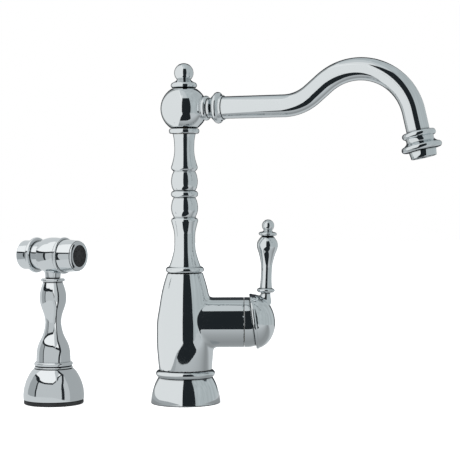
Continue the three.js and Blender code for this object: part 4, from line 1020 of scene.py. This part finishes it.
stations = tube_stations(TUBE_STEPS)
drawn_chrome = plated("drawn_chrome", CHROME_TONE, waviness=0.12)
dress("swan_neck", tube_mesh("swan_neck", stations, TUBE_RADIUS, TUBE_BORE), spout_frame,
      "spout_tube", "spout", drawn_chrome)


# ---- Aerator housing
# A turned shell brazed on the tube's end, with a small bead, a cove and a wide rounded bead. The aerator screws
# into its open end.
end_x, end_z, end_slope = stations[-1]
outlet_frame = (
    spout_frame
    @ Matrix.Translation((end_x * MM, 0, end_z * MM))
    @ Matrix.Rotation(math.pi / 2 - end_slope, 4, "Y")
)
HOUSING_TOP, HOUSING_LEDGE, HOUSING_THREAD = -5.7, 2.5, 10.6
housing_upper = bead(5.4, 13.0, 15.35)
housing_cove = swell(6.3, [13.0, 12.55, 13.2, 15.8])
housing_lower = bead(5.4, 15.8, 18.4)
housing_end = HOUSING_TOP + height_of(housing_upper, housing_cove, housing_lower)
housing_outline = [
    (TUBE_RADIUS + SEAT_GAP, HOUSING_TOP),
    *stacked(HOUSING_TOP, housing_upper, housing_cove, housing_lower),
    (HOUSING_THREAD, housing_end),
    (HOUSING_THREAD, HOUSING_LEDGE),
    (TUBE_BORE, HOUSING_LEDGE),
    (TUBE_BORE, SEAT_GAP),
    (TUBE_RADIUS + SEAT_GAP, SEAT_GAP),
]
turned_piece("aerator_shell", housing_outline, outlet_frame, "aerator_housing", "spout")


# ---- Aerator nozzle and screen
# A short plated sleeve that screws up into the housing by hand, slightly tapered, with a thin lip inside. The screen
# that rests on the lip is a moulded honeycomb that mixes air into the water.
nozzle_shoulder = housing_end + SEAT_GAP
nozzle_end = nozzle_shoulder + 6.5
NOZZLE_BORE, NOZZLE_MOUTH, NOZZLE_LIP = 9.2, 8.4, 1.6
nozzle_thread = HOUSING_THREAD - SEAT_GAP
nozzle_top = HOUSING_LEDGE + 2.3
nozzle_outline = [
    (NOZZLE_BORE, nozzle_top),
    (nozzle_thread, nozzle_top),
    (nozzle_thread, nozzle_shoulder),
    (12.4, nozzle_shoulder),
    (11.6, nozzle_end - 0.6),
    (11.3, nozzle_end),
    (NOZZLE_MOUTH, nozzle_end),
    (NOZZLE_MOUTH, nozzle_end - NOZZLE_LIP),
    (NOZZLE_BORE, nozzle_end - NOZZLE_LIP),
]
turned_piece("aerator_insert", nozzle_outline, outlet_frame, "aerator_nozzle", "spout")

COMB_PITCH, COMB_WALL, COMB_RADIUS, COMB_RING = 1.45, 0.28, 8.85, 1.2


def honeycomb_mesh(name, radius, foot, top):
    """Hexagonal tubes side by side within a circle, with a ring round them."""
    shape = bmesh.new()
    bore, outside = (COMB_PITCH - COMB_WALL) / math.sqrt(3), COMB_PITCH / math.sqrt(3)
    rows = math.ceil(radius / (COMB_PITCH * math.sin(math.radians(60))))
    for row in range(-rows, rows + 1):
        for column in range(-rows - 1, rows + 2):
            x = (column + (row % 2) / 2) * COMB_PITCH
            y = row * COMB_PITCH * math.sin(math.radians(60))
            if math.hypot(x, y) > radius - COMB_RING - 0.1:
                continue
            loops = []
            for size, level in ((bore, foot), (bore, top), (outside, top), (outside, foot)):
                corners = [math.radians(30 + 60 * i) for i in range(6)]
                loop = [((x + size * math.cos(a)) * MM, (y + size * math.sin(a)) * MM, level * MM) for a in corners]
                loops.append([shape.verts.new(corner) for corner in loop])
            for one, other in zip(loops, loops[1:] + loops[:1]):
                wall_between(shape, one, other)
    bmesh.ops.remove_doubles(shape, verts=shape.verts, dist=1e-6)
    doubled = [face for face in shape.faces if all(len(edge.link_faces) > 2 for edge in face.edges)]
    bmesh.ops.delete(shape, geom=doubled, context="FACES_ONLY")
    bmesh.ops.recalc_face_normals(shape, faces=shape.faces)
    ring = ring_outline(radius - COMB_RING, radius, foot - 0.3, top + 0.2)
    shape.from_mesh(turned_mesh("comb_rim", ring, sides=64, ease=0.15))
    return mesh_from(name, shape)


white_plastic = moulded("white_plastic", (0.62, 0.63, 0.62), (0.5, 0.5, 0.48), grain_size=400.0, depth=0.1)
screen_end = nozzle_end - NOZZLE_LIP - SEAT_GAP
dress("aerator_comb", honeycomb_mesh("aerator_comb", COMB_RADIUS, screen_end - 3.0, screen_end - 0.3), outlet_frame,
      "aerator_screen", "spout", white_plastic)


# ---- Arm bonnet
# A turned brass cap on the arm's end, part of a hollow ball about the lever's pin, so that the dome can rock over it.
# The spindle comes out through the round hole in its crown. It shows as a ring in the shadow under the dome.
LEVER_PIVOT, LEVER_TILT = 59.0, 7.5
BONNET_WALL, BONNET_EDGE = 1.8, 56.0
bonnet_foot = ARM_END + SEAT_GAP
bonnet_outline = [
    (ARM_RADIUS - BONNET_WALL, bonnet_foot),
    (ARM_RADIUS, bonnet_foot),
    *arc(ARM_RADIUS, LEVER_PIVOT, 0, BONNET_EDGE, 32),
    *arc(ARM_RADIUS - BONNET_WALL, LEVER_PIVOT, BONNET_EDGE, 0, 24),
]
turned_piece("bonnet_ring", bonnet_outline, arm_place, "arm_bonnet", "root")


# ---- Lever dome
# A cast cap over the arm's end, thin-walled, with a rolled rim, a hub inside for the spindle and a boss on its
# shoulder for the stick. It rocks with the stick and turns for temperature.
DOME_RADIUS, DOME_HEIGHT, DOME_WALL, DOME_STAND = 26.1, 21.1, 1.5, 5.4
lever_frame = (
    Matrix.Translation((LEVER_PIVOT * MM, 0, ARM_HEIGHT * MM))
    @ Matrix.Rotation(math.radians(90 - LEVER_TILT), 4, "Y")
)
STICK_LEAN, STICK_FOOT_X, STICK_FOOT_Z, STICK_NECK = 2.3, 76.4, 97.9, 6.7
stick_frame = (
    Matrix.Translation((STICK_FOOT_X * MM, 0, STICK_FOOT_Z * MM))
    @ Matrix.Rotation(math.radians(STICK_LEAN), 4, "Y")
)
inner_radius = DOME_RADIUS - DOME_WALL
inner_flatten = (DOME_HEIGHT - DOME_WALL) / inner_radius
HUB_RADIUS, HUB_LENGTH, SPINDLE_RADIUS, SPINDLE_REACH = 6.0, 11.5, 3.0, 22.5
hub_angle = math.degrees(math.acos(HUB_RADIUS / inner_radius))
dome_apex = DOME_STAND + DOME_HEIGHT
hub_foot = dome_apex - DOME_WALL - HUB_LENGTH
rim_roll = bead(2.6, DOME_RADIUS - 0.1, DOME_RADIUS + 0.4, samples=8)
ABOVE_RIM = 8
dome_solid = Turning([
    (0, SPINDLE_REACH + SEAT_GAP),
    (SPINDLE_RADIUS + SEAT_GAP, SPINDLE_REACH + SEAT_GAP),
    (SPINDLE_RADIUS + SEAT_GAP, hub_foot),
    (HUB_RADIUS, hub_foot),
    *arc(inner_radius, DOME_STAND, hub_angle, 0, 20, inner_flatten),
    *stacked(DOME_STAND, rim_roll),
    *arc(DOME_RADIUS, DOME_STAND, ABOVE_RIM, 90, 30, DOME_HEIGHT / DOME_RADIUS),
], lever_frame)
boss = Turning([
    (0, -3.4),
    (5.6, -3.4),
    *stacked(-2.4, swell(8.8, [5.8, 5.3, 4.8, 4.6])),
    (0, STICK_NECK - SEAT_GAP),
], stick_frame)
dome_hollow = Turning([
    (0, DOME_STAND - DOME_HEIGHT),
    (inner_radius, DOME_STAND - DOME_HEIGHT),
    *arc(inner_radius, DOME_STAND, 0, hub_angle, 20, inner_flatten),
    (HUB_RADIUS, hub_foot),
    (0, hub_foot),
], lever_frame, ease=0)
TENON_HOLE, TENON_HOLE_DEPTH = 3.0, 7.3
dome_cuts = [dome_hollow, drilled(TENON_HOLE, STICK_NECK - TENON_HOLE_DEPTH, STICK_NECK + RUN_OUT, stick_frame)]
DOME_FILLET, DOME_CELL = 3.2, 0.6
dome_mesh = cast_mesh("dome_cap", [dome_solid, boss], dome_cuts, DOME_FILLET, (56, -27, 48), (88, 27, 106), DOME_CELL)
dress("dome_cap", dome_mesh, UPRIGHT, "lever_dome", "lever", cast_chrome)


# ---- Stick lever
# A slim turned handle with a ring at its foot, a swelling grip, a ring below its tip and a small ball. It stands
# in the dome's boss on a threaded tenon.
stick_stretches = [
    bead(4.4, 5.0, 8.6),
    swell(14.2, [5.9, 5.4, 5.15, 5.1]),
    swell(34.3, [5.1, 5.2, 5.7, 6.75, 8.2, 9.8, 9.5, 6.4]),
    swell(1.0, [6.4, 5.2], samples=2),
    bead(4.0, 5.2, 8.6),
    swell(2.0, [5.2, 4.2, 4.3], samples=4),
]
KNOB_RADIUS, KNOB_NECK = 5.8, 4.3
STICK_TENON = TENON_HOLE - SEAT_GAP
knob_centre = STICK_NECK + height_of(*stick_stretches) + math.sqrt(KNOB_RADIUS**2 - KNOB_NECK**2)
stick_outline = [
    (0, STICK_NECK - 7.0),
    (STICK_TENON, STICK_NECK - 7.0),
    (STICK_TENON, STICK_NECK),
    *stacked(STICK_NECK, *stick_stretches),
    *arc(KNOB_RADIUS, knob_centre, -math.degrees(math.acos(KNOB_NECK / KNOB_RADIUS)), 90, 24),
]
turned_piece("stick_handle", stick_outline, stick_frame, "lever_stick", "lever", sides=96, ease=0.2)


# ---- Spray holder
# A thick black rubber gasket lies on the deck, and a bell of turned and plated brass stands on it. The bell holds a
# moulded plastic bush that the hose slides through.
SPRAY_X = -125.7
spray_place = Matrix.Translation((SPRAY_X * MM, 0, 0))
HOLDER_GASKET, HOLDER_HOLE = 4.0, 16.0
gasket_outline = [
    (HOLDER_HOLE, 0),
    (27.6, 0),
    (28.3, 0.8),
    (28.3, 3.2),
    (27.9, HOLDER_GASKET),
    (HOLDER_HOLE, HOLDER_GASKET),
]
turned_piece("deck_gasket", gasket_outline, spray_place, "holder_gasket", "root", black_rubber)
bell_foot = HOLDER_GASKET + SEAT_GAP
bell_swell = swell(29.1, [28.7, 28.85, 28.6, 28.1, 27.1, 25.85, 24.1, 22.0, 18.9])
bell_top = bell_foot + height_of(bell_swell)
bell_ledge = bell_foot + 5.4
BELL_MOUTH, BELL_BORE = 24.0, 15.3
bell_outline = [
    (BELL_MOUTH, bell_foot),
    *stacked(bell_foot, bell_swell),
    (BELL_BORE, bell_top),
    (BELL_BORE, bell_ledge),
    (BELL_MOUTH, bell_ledge),
]
turned_piece("bell_holder", bell_outline, spray_place, "spray_holder", "root")
BUSH_BORE, BUSH_FLANGE, BUSH_RADIUS = 10.6, 19.0, 15.0
bush_foot = bell_ledge - SEAT_GAP - 2.4
bush_outline = [
    (BUSH_BORE, bush_foot),
    (BUSH_FLANGE, bush_foot),
    (BUSH_FLANGE, bell_ledge - SEAT_GAP),
    (BUSH_RADIUS, bell_ledge - SEAT_GAP),
    (BUSH_RADIUS, bell_top - 0.4),
    (BUSH_BORE, bell_top - 0.4),
]
turned_piece("guide_bush", bush_outline, spray_place, "holder_bush", "root", white_plastic)


# ---- Hose coupling
# The plated stub at the hose's end, which drops into the bush. Its thin flange is the lower of the two rings under
# the handle, and the handle turns on its nipple.
flange_foot = bell_top + SEAT_GAP
flange = bead(2.0, 17.3, 18.3, samples=8)
flange_top = flange_foot + height_of(flange)
NIPPLE_RADIUS, COUPLING_BORE, COUPLING_RADIUS = 7.5, 4.5, 10.3
nipple_top = flange_top + 10.3


def ring_groove(outer, inner, foot, top):
    return [(outer, foot), (inner, foot), (inner, top), (outer, top)]


coupling_outline = [
    (COUPLING_BORE, bush_foot),
    (COUPLING_RADIUS, bush_foot),
    (COUPLING_RADIUS, flange_foot),
    *stacked(flange_foot, flange),
    (NIPPLE_RADIUS, flange_top),
    *ring_groove(NIPPLE_RADIUS, 5.8, flange_top + 3.3, flange_top + 5.7),
    *ring_groove(NIPPLE_RADIUS, 6.2, flange_top + 7.1, flange_top + 8.9),
    (NIPPLE_RADIUS, nipple_top),
    (COUPLING_BORE, nipple_top),
]
turned_piece("hose_stub", coupling_outline, spray_place, "hose_coupling", "coupling")


# ---- Spray handle
# A turned baluster that fits the hand: a bead, a pear, a slim waist and a smaller bulb, with a ring on top. Bored
# through for the water.
handle_foot = flange_top + SEAT_GAP
handle_stretches = [
    bead(4.0, 16.5, 18.4),
    swell(37.0, [16.3, 16.1, 15.85, 15.0, 13.35, 11.0, 9.2, 8.1, 7.5]),
    swell(39.0, [7.5, 8.0, 9.25, 11.0, 12.3, 12.6, 12.15, 10.8, 9.2]),
]
handle_top = handle_foot + height_of(*handle_stretches)
TENON_RADIUS, TENON_LENGTH = 6.0, 17.0
HANDLE_SOCKET, HANDLE_BORE = NIPPLE_RADIUS + SEAT_GAP, 4.0
tenon_hole = TENON_RADIUS + SEAT_GAP
handle_outline = [
    (HANDLE_SOCKET, handle_foot),
    *stacked(handle_foot, *handle_stretches),
    (tenon_hole, handle_top),
    (tenon_hole, handle_top - TENON_LENGTH),
    (HANDLE_BORE, handle_top - TENON_LENGTH),
    (HANDLE_BORE, nipple_top + SEAT_GAP),
    (HANDLE_SOCKET, nipple_top + SEAT_GAP),
]
turned_piece("baluster_handle", handle_outline, spray_place, "spray_handle", "handset")
ring_foot = handle_top + SEAT_GAP
handle_ring = bead(2.8, 10.4, 11.4, samples=8)
ring_top = ring_foot + height_of(handle_ring)
ring_shape = [(tenon_hole, ring_foot), *stacked(ring_foot, handle_ring), (tenon_hole, ring_top)]
turned_piece("handle_ring", ring_shape, spray_place, "handle_collar", "handset")


# ---- Spray head
# A cast barrel across the top of the handle, on a short neck. The barrel is bored through: the button's ring screws
# into its back and the nozzle into its front.
HEAD_YAW, HEAD_LIFT = 31.0, 21.9
head_frame = (
    Matrix.Translation((SPRAY_X * MM, 0, (ring_top + HEAD_LIFT) * MM))
    @ Matrix.Rotation(-math.radians(HEAD_YAW), 4, "Z")
)
nozzle_frame = head_frame @ ALONG_X
REAR_END, FRONT_END, REAR_NECK, REAR_RADIUS = -17.0, 11.7, 8.5, 13.3
barrel_swell = swell(FRONT_END - REAR_END - REAR_NECK, [15.4, 16.3, 16.85, 17.0, 16.9, 16.4, 15.4])
head_barrel = Turning([
    (0, REAR_END),
    (REAR_RADIUS, REAR_END),
    (REAR_RADIUS, REAR_END + REAR_NECK),
    *stacked(REAR_END + REAR_NECK, barrel_swell),
    (0, FRONT_END),
], nozzle_frame)
neck_foot = SEAT_GAP - HEAD_LIFT
tenon_end = neck_foot - 2.3 - TENON_LENGTH
NECK_RADIUS, NECK_TOP = 8.0, -12.5
head_neck = Turning([
    (0, tenon_end),
    (TENON_RADIUS, tenon_end),
    (TENON_RADIUS, neck_foot),
    (7.2, neck_foot),
    (7.5, -18.5),
    (NECK_RADIUS, -15.5),
    (NECK_RADIUS, NECK_TOP),
    (0, NECK_TOP),
], head_frame)
VALVE_BORE, PASSAGE, NOZZLE_POCKET, WATER_WAY = 11.5, 4.0, 12.3, 3.5
head_cuts = [
    drilled(VALVE_BORE, REAR_END - RUN_OUT, 2, nozzle_frame),
    drilled(PASSAGE, 1, 7, nozzle_frame),
    drilled(NOZZLE_POCKET, 6, FRONT_END + RUN_OUT, nozzle_frame),
    drilled(WATER_WAY, tenon_end - RUN_OUT, -10, head_frame),
]
HEAD_FILLET, HEAD_CELL = 1.4, 0.75
head_z = ring_top + HEAD_LIFT
head_mesh = cast_mesh("barrel_head", [head_barrel, head_neck], head_cuts, HEAD_FILLET,
                      (SPRAY_X - 24, -22, head_z + tenon_end - 1), (SPRAY_X + 22, 22, head_z + 18), HEAD_CELL)
dress("barrel_head", head_mesh, UPRIGHT, "spray_head", "handset", cast_chrome)


# ---- Push button and its ring
# The cap at the head's back is the spray's valve button, turned from brass and plated. It slides in a turned ring
# that screws into the barrel.
ring_end = REAR_END - SEAT_GAP
ring_start = ring_end - 3.9
ring_floor = ring_end - 0.4
GUIDE_BORE, GUIDE_THREAD, STEM_HOLE = 14.1, VALVE_BORE - SEAT_GAP, 2.5
guide_outline = [
    (GUIDE_BORE, ring_start),
    *stacked(ring_start, bead(3.9, 15.3, 16.9)),
    (GUIDE_THREAD, ring_end),
    (GUIDE_THREAD, REAR_END + 5),
    (STEM_HOLE, REAR_END + 5),
    (STEM_HOLE, ring_floor),
    (GUIDE_BORE, ring_floor),
]
turned_piece("button_ring", guide_outline, nozzle_frame, "button_guide_ring", "handset")
cap_front = ring_floor - 3.3
cap_back = cap_front - 14.1
CAP_RADIUS, CAP_BORE, CAP_HUB, STEM_RADIUS = 13.8, 11.8, 4.6, 2.5
cap_outline = [
    (0, cap_back),
    (8.6, cap_back),
    (8.9, cap_back + 0.35),
    (9.5, cap_back + 0.35),
    (9.8, cap_back),
    (10.4, cap_back),
    *stacked(cap_back, swell(2.6, [10.8, 12.9, CAP_RADIUS])),
    (CAP_RADIUS, cap_front),
    (CAP_BORE, cap_front),
    (CAP_BORE, cap_back + 2.6),
    (CAP_HUB, cap_back + 2.6),
    (CAP_HUB, cap_back + 6),
    (STEM_RADIUS, cap_back + 6),
    (STEM_RADIUS, cap_back + 2),
    (0, cap_back + 2),
]
turned_piece("rear_button", cap_outline, nozzle_frame, "push_button", "spray_button")


# ---- Nozzle
# A locking ring, a tapered housing and a bezel, all turned and plated, hold the black rubber spray face. Its jets
# are short soft nipples, so that lime can be rubbed off.
lock_foot = FRONT_END + SEAT_GAP
lock_end = lock_foot + 3.2
lock_outline = [(NOZZLE_POCKET, lock_foot), *stacked(lock_foot, bead(3.2, 15.6, 17.3)), (NOZZLE_POCKET, lock_end)]
turned_piece("locking_ring", lock_outline, nozzle_frame, "nozzle_locking_ring", "handset")
front_foot = lock_end + SEAT_GAP
front_face = front_foot + 14.2
pocket_floor = front_face - 2.4
FRONT_BORE, FRONT_THREAD, FACE_POCKET = 8.0, NOZZLE_POCKET - SEAT_GAP, 11.5
front_outline = [
    (FRONT_BORE, lock_foot - 1.5),
    (FRONT_THREAD, lock_foot - 1.5),
    (FRONT_THREAD, front_foot),
    (15.5, front_foot),
    (14.4, front_face),
    (FACE_POCKET, front_face),
    (FACE_POCKET, pocket_floor),
    (FRONT_BORE, pocket_floor),
]
turned_piece("front_housing", front_outline, nozzle_frame, "nozzle_housing", "handset")
bezel_foot = front_face + SEAT_GAP
BEZEL_BORE, BEZEL_HEIGHT = 10.3, 1.9
bezel_round = swell(BEZEL_HEIGHT, [13.9, 13.9, 13.4, 12.3])
bezel_outline = [(BEZEL_BORE, bezel_foot), *stacked(bezel_foot, bezel_round), (BEZEL_BORE, bezel_foot + BEZEL_HEIGHT)]
turned_piece("face_bezel", bezel_outline, nozzle_frame, "nozzle_bezel", "handset")

face_foot = pocket_floor + SEAT_GAP
face_front = face_foot + 4.0
face_level = face_front - 0.3
face_outline = [
    (0, face_foot),
    (11.2, face_foot),
    (11.2, front_face - SEAT_GAP),
    (10.0, front_face - SEAT_GAP),
    (10.0, face_level),
    (9.2, face_front),
    (8.6, face_front),
    (8.3, face_level),
    (0, face_level),
]
face_mesh = turned_mesh("jet_face", face_outline, ease=0.15)
jets = bmesh.new()
jets.from_mesh(face_mesh)
jet_outline = [(0, -0.4), (0.55, -0.4), (0.55, 0.25), (0.8, 0.25), (1.05, 0.1), (1.3, -0.8), (0, -0.8)]
jet_mesh = turned_mesh("jet", jet_outline, sides=24, ease=0.05)
JET_CIRCLE, JET_COUNT = 6.0, 8
for reach, count in ((0.0, 1), (JET_CIRCLE, JET_COUNT)):
    for i in range(count):
        angle = 2 * math.pi * i / count
        one = jet_mesh.copy()
        jet_foot = Vector((reach * math.cos(angle), reach * math.sin(angle), face_level))
        one.transform(Matrix.Translation(jet_foot * MM))
        jets.from_mesh(one)
jets.to_mesh(face_mesh)
jets.free()
dress("jet_face", face_mesh, nozzle_frame, "spray_face", "handset", black_rubber)


# ---- Pieces inside
# What the covers hide keeps its CAD form: brass, steel, lapped ceramic, moulded plastic and rubber seals. Each gets
# the finish it has when the faucet is taken apart.
STAIN = 0.72


def machined(name, tone, roughness, ridges):
    """Bare turned metal, lightly stained, with fine tool lines round its axis."""
    material, tree, shader = new_finish(name)
    where = new_node(tree, "TexCoord").outputs["Object"]
    stain = new_node(tree, "TexNoise", {"Vector": where, "Scale": 120.0, "Detail": 5.0}).outputs["Fac"]
    stained = [value * STAIN for value in tone]
    tint = new_node(tree, "Mix", {"Factor": stain, 6: (*tone, 1), 7: (*stained, 1)}, data_type="RGBA")
    spread = new_node(tree, "MapRange", {"Value": stain, "To Min": roughness - 0.08, "To Max": roughness + 0.12})
    lines = new_node(tree, "TexWave", {"Vector": where, "Scale": ridges, "Distortion": 0.6}, bands_direction="Z")
    cut_lines = new_node(tree, "Bump", {"Height": lines.outputs["Fac"], "Strength": 0.15, "Distance": 0.0001})
    feed(tree, shader, {
        "Base Color": tint.outputs[2],
        "Metallic": 1.0,
        "Roughness": spread.outputs["Result"],
        "Normal": cut_lines.outputs["Normal"],
    })
    return material


inner_finishes = {
    "brass": machined("machined_brass", (0.69, 0.55, 0.31), 0.34, 700.0),
    "steel": machined("stainless_steel", (0.62, 0.64, 0.65), 0.3, 900.0),
    "ceramic": moulded("lapped_ceramic", (0.82, 0.8, 0.75), (0.74, 0.72, 0.67), grain_size=600.0, depth=0.05),
    "plastic": white_plastic,
    "rubber": black_rubber,
    "chrome": turned_chrome,
}
slot_of = {part["node"]: part["material_slot"] for part in frame["record"]["subparts"]}
for name, node in frame["nodes"].items():
    finish = inner_finishes[slot_of[name]]
    node.data.materials.clear()
    node.data.materials.append(finish)
